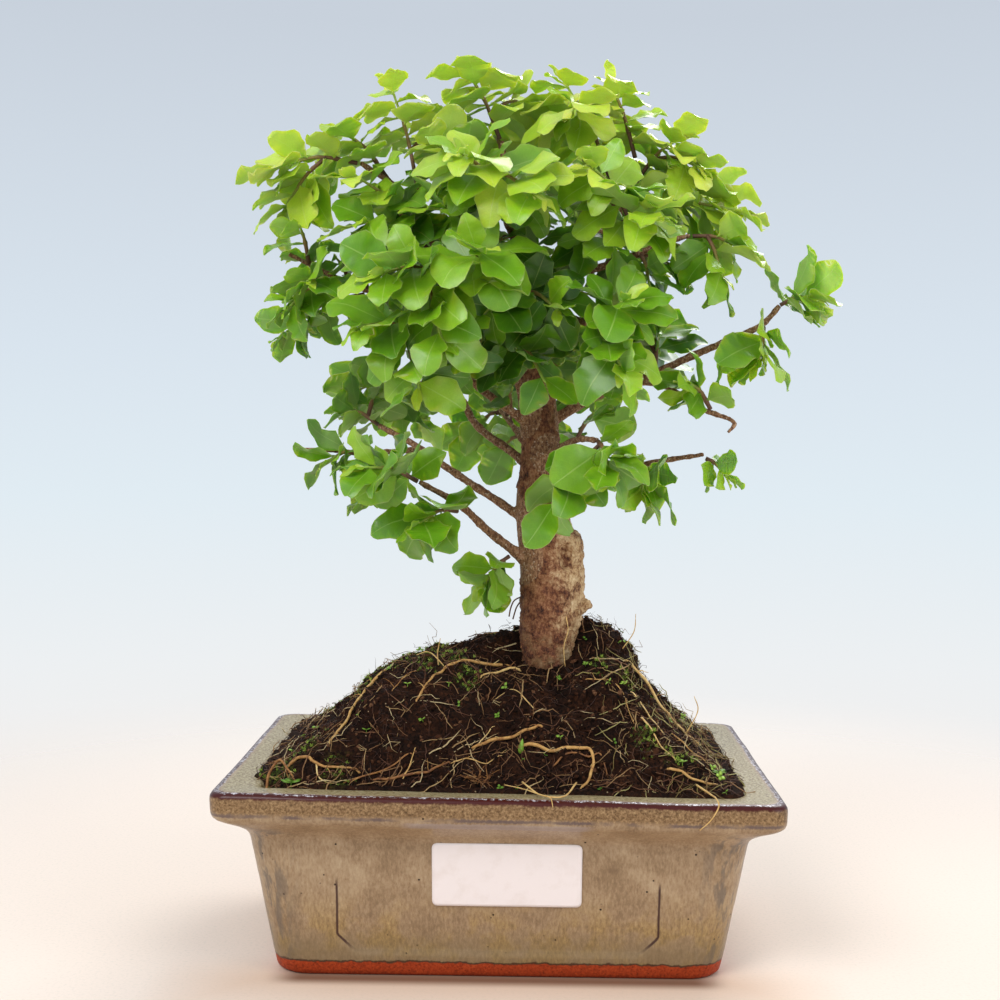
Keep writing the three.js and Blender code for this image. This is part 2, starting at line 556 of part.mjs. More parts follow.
// The rings of one leaf: it grows from the four corners of its root on the stem into a waved blade, whose
// upper face lies between its two edges, with a keel along the rib below.
function leafRings(root, leaf) {
  const { base, forward, normal, length, curl, cup, wave, phase } = leaf;
  const side = normal.clone().cross(forward).normalize();
  const half = 0.5 * leaf.width;
  const section = ([s, share]) => {
    const middle = base.clone().addScaledVector(forward, length * s);
    middle.addScaledVector(normal, -curl * length * s * s);
    const w = half * share;
    const lift = (k) => cup * w + wave * length * s * Math.sin(9 * s + phase + 0.6 * k);
    const left = middle.clone().addScaledVector(side, w).addScaledVector(normal, lift(0));
    const right = middle.clone().addScaledVector(side, -w).addScaledVector(normal, lift(1));
    const keel = left.clone().add(right).multiplyScalar(0.5).addScaledVector(normal, -BLADE_THICK);
    return [left, right, keel];
  };
  const tip = base.clone().addScaledVector(forward, length).addScaledVector(normal, -curl * length);
  return [root, ...BLADE_STATIONS.map(section), [tip]];
}

// The directions across and above a line at t.
function frameAt(line, t) {
  const forward = heading(line, t);
  const across = UP.clone().cross(forward).normalize();
  return { forward, across, above: forward.clone().cross(across) };
}

// How the leaf numbered id sits on its node; each attempt turns and bends it another way.
function poseLeaf(line, node, hand, size, id, attempt) {
  const draw = (k) => chance(id, k + 10 * attempt);
  const { forward, across, above } = frameAt(line, node.t);
  const turn = node.turn + hand * Math.PI + 0.9 * (draw(1) - 0.5);
  const spread = (node.t > 0.9 ? 0.75 : 1.05) + 0.5 * (draw(2) - 0.5);
  const out = across.multiplyScalar(Math.cos(turn)).addScaledVector(above, Math.sin(turn));
  const way = forward.multiplyScalar(Math.cos(spread)).addScaledVector(out, Math.sin(spread));
  way.z = 0.6 * way.z - 0.4 * draw(3);
  way.normalize();
  const base = vec(along(line, node.t));
  const outward = base.clone().sub(CROWN_CENTRE).normalize();
  const face = UP.clone().multiplyScalar(0.8).addScaledVector(outward, 0.6);
  face.add(new THREE.Vector3(draw(4) - 0.5, draw(5) - 0.5, 0).multiplyScalar(0.7));
  const normal = face.addScaledVector(way, -face.dot(way)).normalize();
  const length = size * (0.86 + 0.28 * draw(6)) * 0.95 ** attempt;
  return {
    base,
    forward: way,
    normal,
    length,
    width: length * LEAF_SLENDER * (0.9 + 0.2 * draw(7)),
    curl: 0.02 + 0.2 * draw(8),
    cup: 0.25 * (draw(9) - 0.3),
    wave: 0.05,
    phase: 6.28 * draw(6.5),
  };
}

function nearBoxes(a, b, reach) {
  const p = a.boundingBox();
  const q = b.boundingBox();
  return [0, 1, 2].every((k) => p.min[k] - reach < q.max[k] && q.min[k] - reach < p.max[k]);
}

const isClear = (body, others) => others.every((other) => (
  !nearBoxes(body, other, GAP) || body.minGap(other, GAP) >= GAP * 0.99
));

// The line of a shoot that starts clear of its branch and rises a little on its way to its tip.
function shootLine(root, start, tip) {
  const length = tip.distanceTo(root);
  const from = root.clone().lerp(tip, start / length);
  const middle = from.clone().lerp(tip, 0.5).addScaledVector(UP, 0.1 * length);
  return [from.toArray(), middle.toArray(), tip.toArray()];
}

// A four-sided stem along a line, with a short straight stretch at each node. Two opposite sides of that
// stretch face the node's pair of leaves, and their corners are the leaves' roots.
function makeStem(line, pairs) {
  const length = vec(line[0]).distanceTo(vec(line[2]));
  const spacing = 0.9 / pairs;
  const half = Math.min(NODE_LENGTH / length, 0.7 * spacing) / 2;
  const ring = (t, turn) => {
    const { across, above } = frameAt(line, t);
    const r = lerp(SHOOT_RADIUS, SHOOT_END_RADIUS, t);
    return [-0.25, 0.25, 0.75, 1.25].map((quarter) => {
      const a = turn + Math.PI * quarter;
      const point = vec(along(line, t)).addScaledVector(across, r * Math.cos(a));
      return point.addScaledVector(above, r * Math.sin(a));
    });
  };
  const nodes = [];
  for (let pair = 1; pair <= pairs; pair += 1) {
    const t = 0.1 + spacing * pair - half;
    const turn = pair % 2 === 1 ? NODE_TURN : -NODE_TURN;
    const low = ring(t - half, turn);
    const high = ring(t + half, turn);
    const roots = [[low[0], low[1], high[1], high[0]], [low[2], low[3], high[3], high[2]]];
    nodes.push({ t, turn, low, high, roots });
  }
  const rings = [ring(0, nodes[0].turn), ...nodes.flatMap((node) => [node.low, node.high])];
  return { line, nodes, rings, body: solid(loft(rings)) };
}

// A stem with its leaves in opposite pairs, each turned until it is clear of the other pieces, as one skin:
// a leaf takes the place of the side of the stem that it grows from. Each leaf joins the others.
function growLeaves(stem, leafLength, id, others) {
  const grown = new Set();
  const skins = [];
  stem.nodes.forEach((node, n) => {
    const size = leafLength * (0.8 + 0.3 * Math.sin((Math.PI * (n + 0.7)) / stem.nodes.length));
    for (const hand of [0, 1]) {
      for (let attempt = 0; attempt < LEAF_ATTEMPTS; attempt += 1) {
        const pose = poseLeaf(stem.line, node, hand, size, id + 2 * n + hand, attempt);
        const rings = leafRings(node.roots[hand], pose);
        const leaf = solid(loft(rings));
        const sound = bridge(rings[0], rings[1]).depth > ROOT_DEPTH;
        if (sound && leaf.intersect(stem.body).volume() < TOUCH && isClear(leaf, others)) {
          others.push(leaf);
          skins.push(loft(rings, undefined, true));
          grown.add(`${2 * n + 1} ${2 * hand}`);
          break;
        }
      }
    }
  });
  skins.push(loft(stem.rings, (r, i) => grown.has(`${r} ${i}`)));
  return solid(mergeGeometries(skins));
}

// The sprays, one after another, each kept clear of the wood and of the sprays before it.
function makeSprays(wood) {
  const done = [wood];
  return SPRAYS.map(([branch, t, tip, pairs, leafLength, forks], k) => {
    const root = vec(along(BRANCHES[branch][2], t));
    let start = SHOOT_START;
    let stem = makeStem(shootLine(root, start, vec(tip)), pairs);
    while (!isClear(stem.body, done) && start < SHOOT_START_MAX) {
      start += 0.25;
      stem = makeStem(shootLine(root, start, vec(tip)), pairs);
    }
    const stems = [stem];
    forks.forEach(([share, end, count]) => {
      const fork = makeStem(shootLine(vec(along(stem.line, share)), 0, vec(end)), count);
      if (isClear(fork.body, done)) stems.push(fork);
    });
    const leaves = [];
    const shoots = stems.map((piece, f) => {
      const others = [...done, ...stems.filter((other) => other !== piece).map((other) => other.body), ...leaves];
      const before = others.length;
      const shoot = growLeaves(piece, leafLength, 100 * k + 40 * f, others);
      leaves.push(...others.slice(before));
      return shoot;
    });
    const spray = wasm.Manifold.union(shoots);
    done.push(spray);
    return [`spray_${String(k + 1).padStart(2, '0')}_${branch}`, spray];
  });
}

const COLOURS = {
  stoneware: { color: 0x8d8568, roughness: 0.3 },
  paper: { color: 0xf1eaea, roughness: 0.75 },
  screen: { color: 0x20241f, roughness: 0.6 },
  soil: { color: 0x2c1f17, roughness: 1 },
  bark: { color: 0x8a6547, roughness: 0.9 },
  root: { color: 0xc0935a, roughness: 0.8 },
  leaf: { color: 0x6fae2c, roughness: 0.45 },
};

const bonsai = new THREE.Group();
function place(name, body, finish) {
  const material = new THREE.MeshStandardMaterial({ ...COLOURS[finish], metalness: 0 });
  const mesh = new THREE.Mesh(geometryOf(body), material);
  mesh.name = name;
  bonsai.add(mesh);
}

place('pot', makePot(), 'stoneware');
place('drain_mesh_left', makeScreen(-DRAIN_X), 'screen');
place('drain_mesh_right', makeScreen(DRAIN_X), 'screen');
place('label', makeLabel(), 'paper');
const soil = makeSoil();
place('soil', soil, 'soil');
const wood = makeWood();
place('wood', wood, 'bark');
makeRoots(soil, wood).forEach(([name, root]) => place(name, root, 'root'));
makeSprays(wood).forEach(([name, spray]) => place(name, spray, 'leaf'));

const extent = new THREE.Box3().setFromObject(bonsai);
bonsai.position.set(-(extent.min.x + extent.max.x) / 2, -(extent.min.y + extent.max.y) / 2, -extent.min.z);
const group = new THREE.Group();
group.add(bonsai);
export default group;
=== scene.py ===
"""A Chinese privet bonsai in its glazed stoneware pot, made piece by piece over its CAD frame."""
import math
from functools import partial
from itertools import permutations, product

import bpy
import numpy as np
from bpy.props import FloatProperty, FloatVectorProperty, IntProperty, PointerProperty
from mathutils import Matrix, Vector, noise
from mathutils.bvhtree import BVHTree
from mathutils.kdtree import KDTree


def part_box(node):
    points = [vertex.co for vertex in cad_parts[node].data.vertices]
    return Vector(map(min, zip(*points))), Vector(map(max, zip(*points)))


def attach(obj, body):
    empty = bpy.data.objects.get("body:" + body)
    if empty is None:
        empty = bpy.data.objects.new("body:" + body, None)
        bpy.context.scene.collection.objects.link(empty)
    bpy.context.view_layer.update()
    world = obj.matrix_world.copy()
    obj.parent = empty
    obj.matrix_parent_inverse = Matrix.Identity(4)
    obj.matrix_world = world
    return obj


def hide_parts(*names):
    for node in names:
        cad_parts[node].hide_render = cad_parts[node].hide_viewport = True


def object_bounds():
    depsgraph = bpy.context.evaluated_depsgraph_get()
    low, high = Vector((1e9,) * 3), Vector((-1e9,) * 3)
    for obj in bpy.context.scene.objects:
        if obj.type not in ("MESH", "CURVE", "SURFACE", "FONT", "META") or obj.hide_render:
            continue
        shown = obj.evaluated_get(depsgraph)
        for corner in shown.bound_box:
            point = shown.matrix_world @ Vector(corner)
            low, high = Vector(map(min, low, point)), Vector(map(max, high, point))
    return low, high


bl_info = {
    "name": "Privet bonsai in its pot",
    "version": (1, 0, 0),
    "blender": (4, 5, 0),
    "location": "3D View > Sidebar > Bonsai",
    "description": "Makes a potted privet bonsai: glazed pot, soil, roots, wood, leafy shoots and stage",
    "category": "Object",
}

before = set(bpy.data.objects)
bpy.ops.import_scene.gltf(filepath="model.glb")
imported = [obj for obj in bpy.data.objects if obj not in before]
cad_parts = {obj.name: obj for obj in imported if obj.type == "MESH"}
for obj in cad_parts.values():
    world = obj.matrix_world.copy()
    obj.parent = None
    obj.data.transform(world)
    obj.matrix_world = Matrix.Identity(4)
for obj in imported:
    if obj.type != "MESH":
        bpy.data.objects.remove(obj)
CAD_BOUNDS = [list(corner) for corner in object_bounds()]

# Points in this file are millimetres from the middle of the pot's foot; SHIFT takes them to the frame.
POT_LOW, POT_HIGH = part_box("pot")
SHIFT = Vector((500 * (POT_LOW.x + POT_HIGH.x), 500 * (POT_LOW.y + POT_HIGH.y), 0))
RIM_LENGTH = 190
RIM_DEPTH = 140
POT_HEIGHT = 65.2
RIM_WIDTH = 14.5
RIM_CORNER = 6
RIM_FALL = 1.1
WALL_FOOT = 8
WALL_TOP = 48
WALL_FOOT_INSET = 17
WALL_TOP_INSET = 10.4
FLOOR_TOP = 7
INNER_TOP = 60
PANEL_HALF = 54
PANEL_BOTTOM = 9
PANEL_TOP = 36
PANEL_CHAMFER = 6
PANEL_DEPTH = 0.8
# The pot's section, from under the foot to the floor inside: how far in from the rim, corner radius, height.
POT_SECTION = [
    (30, 8, 2.6), (28.6, 8, 2.6), (27.9, 8, 0.4), (27.2, 8, 0), (18.9, 12, 0), (18.5, 12, 0.5),
    (17.7, 12, 4.6), (WALL_FOOT_INSET, 12, WALL_FOOT), (WALL_TOP_INSET, 12, WALL_TOP), (9.2, 11.5, 50),
    (6.9, 10.5, 52), (3.9, 9, 54), (1.4, 7, 55.4), (0.3, RIM_CORNER, 56.6), (0, RIM_CORNER, 63.8),
    (0.5, RIM_CORNER, 64.9), (1.6, RIM_CORNER, POT_HEIGHT), (13.3, RIM_CORNER, 64.5),
    (RIM_WIDTH, RIM_CORNER, 63.6), (16.1, RIM_CORNER, INNER_TOP), (24, RIM_CORNER, FLOOR_TOP),
]
DRAIN_OUT = 36
DRAIN_RADIUS = 6
# How far from the panel's outline its marks reach.
PANEL_REACH = 6.0

LABEL_BOTTOM = 26
LABEL_MIDDLE = 3.1
LABEL_CORNER = 1.8

SOIL_EDGE = 64.8
SOIL_BOTTOM = 8.8
STEM_BOTTOM = 88.5
# The mound's top in square metres, about.
SOIL_AREA = 0.023
SOIL_LEFT = [
    (0, 110), (0.2, 104.5), (0.38, 100.5), (0.55, 96.5), (0.63, 93), (0.71, 85), (0.85, 75), (1, SOIL_EDGE),
]
SOIL_RIGHT = [
    (0, 115), (0.2, 112), (0.35, 104), (0.42, 93), (0.5, 86), (0.6, 80), (0.85, 72), (1, SOIL_EDGE),
]
SOIL_FRONT = [(0, 98.6), (0.2, 95.5), (0.48, 87), (0.77, 75), (1, SOIL_EDGE)]
SOIL_BACK = [(0, 113), (0.3, 104), (0.55, 91), (0.8, 75), (1, SOIL_EDGE)]
STEM_FOOT = (17.2, 1.4)

# The trunk: x, y, z of its middle and its radius. Then its cut shoulder and the snag beside it.
TRUNK = [
    (17.2, 1.4, 87.9, 10), (17.2, 1.4, 98, 10), (17, 1, 107, 10.2), (18, 0.5, 118, 11.4),
    (18.2, 0, 129, 11.7), (17.2, -0.5, 140, 11.2), (15.2, -1, 149, 10.2), (13.9, -1, 160, 9.2),
    (13.7, -1, 178, 7.3), (12.1, -1, 196, 6.9), (11.2, -1, 211, 5.6), (9.6, 0, 224, 4.7),
    (7.4, 1, 236, 3.6),
]
SHOULDER = [(19, -0.5, 127, 9.6), (21.2, -1.5, 138, 8.6), (22, -2, 145, 7.4), (22, -2, 149, 4.6)]
SNAG = [(25, -1, 118.5, 4.2), (29.5, -1.4, 120.8, 2.6), (32, -1.5, 122, 1.9)]
SCAR_CENTRE = (23.4, -10.6, 140)
SCAR_RADII = (3, 2.4, 5.2)
KNOT = (27.2, -8, 118.6)

# Branches: radius at the root and at the end, then the points of the middle line.
BRANCHES = {
    "lower_left": (2.1, 1.1, [(8, -4, 138), (-5, -12, 149), (-16, -20, 159), (-29, -28, 167)]),
    "left": (1.9, 1.2, [(9, -2, 152), (-13, 4, 166), (-32, 12, 178), (-48, 20, 187)]),
    "left_bare": (1.3, 0.8, [(-32, 12, 178), (-44, 5, 177), (-56, 0, 177), (-77, -4, 178)]),
    "left_back": (1.9, 1.2, [(11, 3, 171), (-10, 16, 187), (-19, 26, 199), (-37, 40, 204)]),
    "left_front": (1.9, 1.1, [(10, -3, 187), (-9, -18, 201), (-17, -28, 209), (-30, -38, 218)]),
    "mid_left": (2, 0.9, [(2, 2, 228), (-28, 12, 234), (-50, 8, 237), (-62, 2, 241), (-79, -4, 249)]),
    "upper_left": (2.4, 1.1, [(9, 0, 221), (-9, 4, 233), (-24, 3, 250), (-37, 0, 271), (-53, -4, 282)]),
    "leader": (3.4, 1.1, [(9, 0, 224), (7, 2, 237), (5, 0, 253), (1, -2, 273), (-2, 0, 291)]),
    "upper_right": (3, 1.1, [(10, 0, 226), (25, 4, 243), (37, 2, 259), (45, -2, 269), (47, -6, 283)]),
    "mid_right": (1.8, 1, [(25, 4, 243), (42, -4, 247), (55, -10, 252), (66, -14, 255)]),
    "far_right": (
        2.3, 1.1, [(15, 2, 187), (35, 0, 199), (50, -4, 204), (71, -8, 214), (91, -6, 223), (99, -6, 231)],
    ),
    "right_hook": (1.5, 0.8, [(50, -4, 204), (60, -8, 201), (70, -12, 194), (82, -16, 189), (80, -17, 185)]),
    "low_right": (1.8, 0.9, [(17, 1, 167), (41, 0, 171), (61, -4, 175), (73, -8, 177)]),
    "front_twig": (1.6, 1.1, [(8, -5, 191), (4, -15, 208), (3, -21, 223), (3, -27, 235)]),
    "front_right": (2, 1.2, [(11, -3, 216), (22, -26, 224), (30, -40, 221)]),
    "front_low": (1.7, 1.1, [(15, -5, 176), (26, -22, 182), (33, -34, 182)]),
    "front_left": (2.1, 1.2, [(9, -3, 219), (-6, -28, 230), (-21, -46, 237)]),
    "front_top": (1.9, 1.1, [(5, -2, 251), (0, -28, 260), (-4, -44, 267)]),
    "front_up_right": (1.9, 1.1, [(25, 4, 243), (34, -22, 250), (39, -38, 255)]),
    "back_low": (1.9, 1.1, [(12, 4, 174), (4, 34, 186), (-3, 56, 194)]),
    "back_right": (2, 1.1, [(14, 3, 197), (25, 32, 209), (38, 56, 218)]),
    "back_left": (2.2, 1.1, [(9, 3, 217), (-6, 34, 232), (-19, 58, 242)]),
    "back_top": (1.9, 1.1, [(6, 1, 248), (9, 24, 269), (13, 40, 284)]),
    "back_up_right": (1.9, 1.1, [(31, 4, 252), (44, 30, 267), (53, 48, 275)]),
}

# Sprays: branch, how far along it, the shoot's tip, pairs of leaves, leaf length, and forks: how far along
# the shoot, the fork's tip and its pairs.
SPRAYS = [
    ("lower_left", 1, (-46, -34, 172), 4, 20, []),
    ("lower_left", 0.6, (-28, -34, 153), 3, 20, []),
    ("lower_left", 0.1, (-6, -14, 130), 3, 16, []),
    ("left", 1, (-62, 24, 193), 4, 15, [(0.3, (-50, 30, 201), 3)]),
    ("left_bare", 0.5, (-63, -10, 174), 4, 17, []),
    ("left_bare", 0.15, (-46, -6, 164), 4, 17, []),
    ("left_back", 1, (-62, 48, 200), 4, 18, [(0.3, (-36, 54, 190), 3)]),
    ("left_front", 1, (-45, -50, 220), 4, 20, [(0.3, (-28, -48, 200), 3)]),
    ("mid_left", 0.5, (-82, 12, 222), 5, 15, []),
    ("mid_left", 0.75, (-78, -6, 230), 4, 16, [(0.3, (-70, -16, 238), 3)]),
    ("mid_left", 0.86, (-76, 8, 250), 3, 15, []),
    ("upper_left", 1, (-82, -6, 280), 4, 21, [(0.4, (-80, -4, 266), 3)]),
    ("upper_left", 0.8, (-60, 2, 294), 4, 17, []),
    ("upper_left", 0.6, (-42, 6, 310), 5, 18, [(0.4, (-26, 27, 300), 3)]),
    ("upper_left", 0.45, (-48, -26, 258), 4, 20, [(0.3, (-52, -22, 274), 3)]),
    ("upper_left", 0.3, (-20, -30, 262), 4, 19, []),
    ("leader", 1, (-14, 0, 315), 4, 20, [(0.3, (8, 21, 309), 3)]),
    ("leader", 0.6, (-24, -18, 286), 5, 19, []),
    ("upper_right", 1, (38, -4, 310), 4, 18, []),
    ("upper_right", 0.85, (62, -2, 291), 4, 17, [(0.4, (68, -12, 280), 3)]),
    ("upper_right", 0.65, (22, 4, 312), 5, 19, [(0.5, (24, -28, 297), 3)]),
    ("upper_right", 0.55, (84, -2, 266), 5, 18, [(0.4, (78, 12, 274), 4)]),
    ("mid_right", 1, (84, -16, 250), 3, 16, [(0.3, (76, -24, 240), 2)]),
    ("mid_right", 0.5, (51, -24, 236), 4, 17, []),
    ("far_right", 1, (110, -8, 234), 4, 19, []),
    ("far_right", 0.85, (92, -16, 212), 3, 18, []),
    ("far_right", 0.45, (57, 10, 222), 5, 17, [(0.3, (46, 14, 228), 3)]),
    ("right_hook", 0.6, (66, -23, 202), 4, 15, []),
    ("low_right", 0.97, (80, -10, 170), 3, 12, []),
    ("low_right", 0.5, (50, -14, 164), 4, 17, []),
    ("front_low", 1, (36, -49, 173), 4, 18, [(0.2, (18, -38, 160), 3)]),
    ("front_twig", 0.55, (14, -36, 203), 3, 17, []),
    ("front_twig", 0.95, (18, -48, 226), 4, 17, [(0.3, (-7, -46, 224), 3)]),
    ("front_right", 1, (40, -54, 206), 4, 18, [(0.3, (40, -54, 228), 3)]),
    ("front_left", 1, (-38, -62, 236), 4, 20, [(0.3, (-20, -60, 216), 3)]),
    ("front_left", 0.75, (-7, -62, 243), 4, 19, []),
    ("front_top", 1, (-13, -58, 275), 4, 19, [(0.3, (10, -60, 262), 3)]),
    ("front_up_right", 1, (49, -52, 257), 4, 18, [(0.3, (30, -50, 272), 3)]),
    ("back_low", 1, (-13, 74, 184), 4, 18, [(0.3, (14, 68, 188), 3)]),
    ("back_right", 1, (47, 74, 205), 4, 18, [(0.3, (60, 62, 232), 3)]),
    ("back_left", 1, (-43, 72, 236), 4, 18, [(0.3, (-8, 74, 246), 3)]),
    ("back_left", 0.6, (-44, 50, 262), 4, 18, []),
    ("back_top", 1, (9, 56, 298), 4, 18, [(0.3, (-16, 48, 290), 3)]),
    ("back_up_right", 1, (68, 62, 278), 4, 18, [(0.3, (40, 56, 294), 3)]),
]

UP = Vector((0, 0, 1))
# A height over the soil that points are dropped from.
HIGH = 140
# The setting that each kind of node's mode goes to.
MODES = {
    "Math": "operation", "VectorMath": "operation", "Mix": "data_type", "MapRange": "interpolation_type",
    "Attribute": "attribute_name", "FunctionNodeRandomValue": "data_type",
    "FunctionNodeRotateRotation": "rotation_space",
}
EASED = "MapRange:SMOOTHSTEP"
CROWN_CENTRE = Vector((5, 0, 235))
CROWN_RADII = (88, 66, 80)
# A leaf's stations along its rib, and its half width at each for an obovate and an elliptic blade.
LEAF_STATIONS = [0, 0.08, 0.17, 0.27, 0.38, 0.5, 0.62, 0.73, 0.83, 0.91, 0.97]
LEAF_SHARES = [0.035, 0.06, 0.33, 0.62, 0.84, 0.97, 1, 0.93, 0.77, 0.56, 0.31]
LEAF_SHARES_OVAL = [0.035, 0.08, 0.42, 0.74, 0.93, 1, 0.94, 0.81, 0.62, 0.42, 0.23]
# The strips between a leaf's stations: outer and inner point, and which way round they run.
LEAF_STRIPS = ((0, 1, 1), (1, 2, 1), (3, 2, -1), (4, 3, -1), (4, 5, 1), (0, 5, -1))
# Stands in place of a leaf's share of its shoot, for the young leaves at the tip.
YOUNG = 1.7


def linear(code):
    """An sRGB hex colour as linear red, green, blue and alpha."""
    values = [int(code[k:k + 2], 16) / 255 for k in (0, 2, 4)]
    return [v / 12.92 if v <= 0.04045 else ((v + 0.055) / 1.055) ** 2.4 for v in values] + [1.0]


def chance(number, choice):
    """A repeatable number from 0 to 1 for one thing and one choice."""
    value = math.sin(number * 12.9898 + choice * 78.233) * 43758.5453
    return value - math.floor(value)


def lerp(a, b, t):
    """The value at share t of the way from a to b."""
    return a + (b - a) * t


def ease(low, high, value):
    """0 below low, 1 above high, and smooth between them."""
    t = min(max((value - low) / (high - low), 0), 1)
    return t * t * (3 - 2 * t)


def along(points, t):
    """The point at t, from 0 to 1, of the smooth line through given points."""
    n = len(points) - 1
    s = min(max(t * n, 0), n - 1e-9)
    i = math.floor(s)
    u = s - i
    p1 = points[i]
    p2 = points[i + 1]
    p0 = points[i - 1] if i > 0 else [2 * a - b for a, b in zip(p1, p2)]
    p3 = points[i + 2] if i + 2 <= n else [2 * b - a for a, b in zip(p1, p2)]
    return [
        0.5 * (2 * b + (c - a) * u + (2 * a - 5 * b + 4 * c - d) * u * u + (3 * b - a - 3 * c + d) * u ** 3)
        for a, b, c, d in zip(p0, p1, p2, p3)
    ]


def sampled(points, steps):
    """The smooth line through given points in even steps, and its radii where the points have them."""
    spots = [along(points, k / steps) for k in range(steps + 1)]
    return [Vector(spot[:3]) for spot in spots], [spot[3] for spot in spots if len(spot) > 3]


def heading(points, t):
    """The direction of a line at t."""
    ahead = Vector(along(points, min(t + 0.01, 1))[:3])
    return (ahead - Vector(along(points, max(t - 0.01, 0))[:3])).normalized()


def frame_at(line, t):
    """The directions along, across and above a line at t."""
    forward = heading(line, t)
    across = UP.cross(forward).normalized()
    return forward, across, forward.cross(across)


def grid(rows, columns):
    """Faces between rings of points, one ring after another."""
    return [
        (
            r * columns + c,
            r * columns + (c + 1) % columns,
            (r + 1) * columns + (c + 1) % columns,
            (r + 1) * columns + c,
        )
        for r in range(rows - 1)
        for c in range(columns)
    ]


def circle(radius, count):
    """Evenly spaced points round a circle."""
    angles = np.linspace(0, 2 * math.pi, count, endpoint=False)
    return [(radius * math.cos(a), radius * math.sin(a)) for a in angles]


class Skin:
    """Points and faces of one piece, with named values for each point and a finish for each face."""

    def __init__(self):
        self.points = []
        self.faces = []
        self.finishes = []
        self.values = {}

    def add(self, points, faces, finish=0, **values):
        """Adds points and faces of one finish, with a value for each point or one for all."""
        start = len(self.points)
        self.points += [tuple(p) for p in points]
        self.faces += [tuple(start + k for k in face) for face in faces]
        self.finishes += [finish] * len(faces)
        for key, value in values.items():
            kept = self.values.setdefault(key, [0.0] * start)
            kept += [0.0] * (start - len(kept))
            kept += list(value) if hasattr(value, "__len__") else [value] * len(points)

    def rings(self, rings, finish=0, **values):
        """Adds equal rings that run anticlockwise round the way they are stacked, closed at both ends."""
        columns = len(rings[0])
        points = [p for ring in rings for p in ring]
        faces = grid(len(rings), columns)
        for ring, turned in ((0, True), (len(rings) - 1, False)):
            loop = [ring * columns + c for c in range(columns)]
            faces.append(tuple(reversed(loop)) if turned else tuple(loop))
        self.add(points, faces, finish, **{
            key: [v for v in value for _ in range(columns)] if hasattr(value, "__len__") else value
            for key, value in values.items()
        })

    def tube(self, line, radii, sides, finish=0, wobble=0, **values):
        """Adds a tube round a line of points, each with its own radius."""
        rings = []
        side = None
        for k, point in enumerate(line):
            ahead = Vector(line[min(k + 1, len(line) - 1)]) - Vector(line[max(k - 1, 0)])
            forward = ahead.normalized()
            seed = Vector((0.31, 1, 0.17)) if side is None else side
            side = (seed - forward * seed.dot(forward)).normalized()
            other = forward.cross(side)
            ring = []
            for c in range(sides):
                angle = 2 * math.pi * c / sides
                out = side * math.cos(angle) + other * math.sin(angle)
                spot = Vector(point) + out * radii[k]
                ring.append(spot + out * wobble * noise.noise(spot * 0.9) if wobble else spot)
            rings.append(ring)
        self.rings(rings, finish, **values)

    def piece(self, name, materials):
        """Makes the object, in metres in the frame."""
        mesh = bpy.data.meshes.new(name)
        spots = (np.array(self.points, float) + np.array(SHIFT)) / 1000
        mesh.from_pydata(spots.tolist(), [], self.faces)
        for key, value in self.values.items():
            value += [0.0] * (len(self.points) - len(value))
            mesh.attributes.new(key, "FLOAT", "POINT").data.foreach_set("value", np.array(value, np.float32))
        mesh.polygons.foreach_set("use_smooth", [True] * len(mesh.polygons))
        mesh.polygons.foreach_set("material_index", self.finishes)
        for material in materials:
            mesh.materials.append(material)
        item = bpy.data.objects.new(name, mesh)
        bpy.context.scene.collection.objects.link(item)
        return item


def settle(item, slot, *nodes):
    """The piece goes with the tree in its pot and stands for its CAD nodes. The slot is not used."""
    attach(item, "root")
    if nodes:
        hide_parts(*nodes)


def evaluated(item):
    """Turns an object with modifiers into its plain mesh."""
    depsgraph = bpy.context.evaluated_depsgraph_get()
    mesh = bpy.data.meshes.new_from_object(item.evaluated_get(depsgraph), depsgraph=depsgraph)
    item.modifiers.clear()
    item.data = mesh


def node(tree, kind, *inputs, out=0, stops=None, **settings):
    """Adds a node and gives one of its outputs. A colon in its kind goes before its mode. Each input is a
    value or another node's output, and a dictionary at the end holds inputs by name or number."""
    kind, _, mode = kind.partition(":")
    item = tree.nodes.new(kind if "Node" in kind else "ShaderNode" + kind)
    if mode:
        settings[MODES[kind]] = mode
    for key, value in settings.items():
        setattr(item, key, value)
    if stops:
        ramp = item.color_ramp.elements
        while len(ramp) < len(stops):
            ramp.new(0.5)
        for stop, (position, colour) in zip(ramp, stops):
            stop.position = position
            stop.color = linear(colour)
    given = dict(enumerate(inputs))
    if inputs and isinstance(inputs[-1], dict):
        given.update(given.pop(len(inputs) - 1))
    for key, value in given.items():
        if isinstance(value, bpy.types.NodeSocket):
            tree.links.new(value, item.inputs[key])
        elif value is not None:
            item.inputs[key].default_value = value
    return item.outputs[out] if item.outputs else item


def surface(name, roughness, **settings):
    """A new material, the function that adds its nodes, and the place on the piece in millimetres."""
    material = bpy.data.materials.new(name)
    material.use_nodes = True
    add = partial(node, material.node_tree)
    shader = material.node_tree.nodes["Principled BSDF"]
    shader.inputs["Roughness"].default_value = roughness
    for key, value in settings.items():
        shader.inputs[key.replace("_", " ")].default_value = value
    return material, add, add("VectorMath:MULTIPLY", add("TexCoord", out="Object"), (1000, 1000, 1000))


def between(add, value, low, rise, fall, high):
    """A mask that is 1 from rise to fall, and fades to 0 at low and at high."""
    return add("Math:MULTIPLY", add(EASED, value, low, rise), add(EASED, value, high, fall))


def strayed(add, value, reach, pattern):
    """A value that a pattern moves up and down, by half the reach at most."""
    return add("Math:MULTIPLY_ADD", add("Math:SUBTRACT", pattern, 0.5), reach, value)


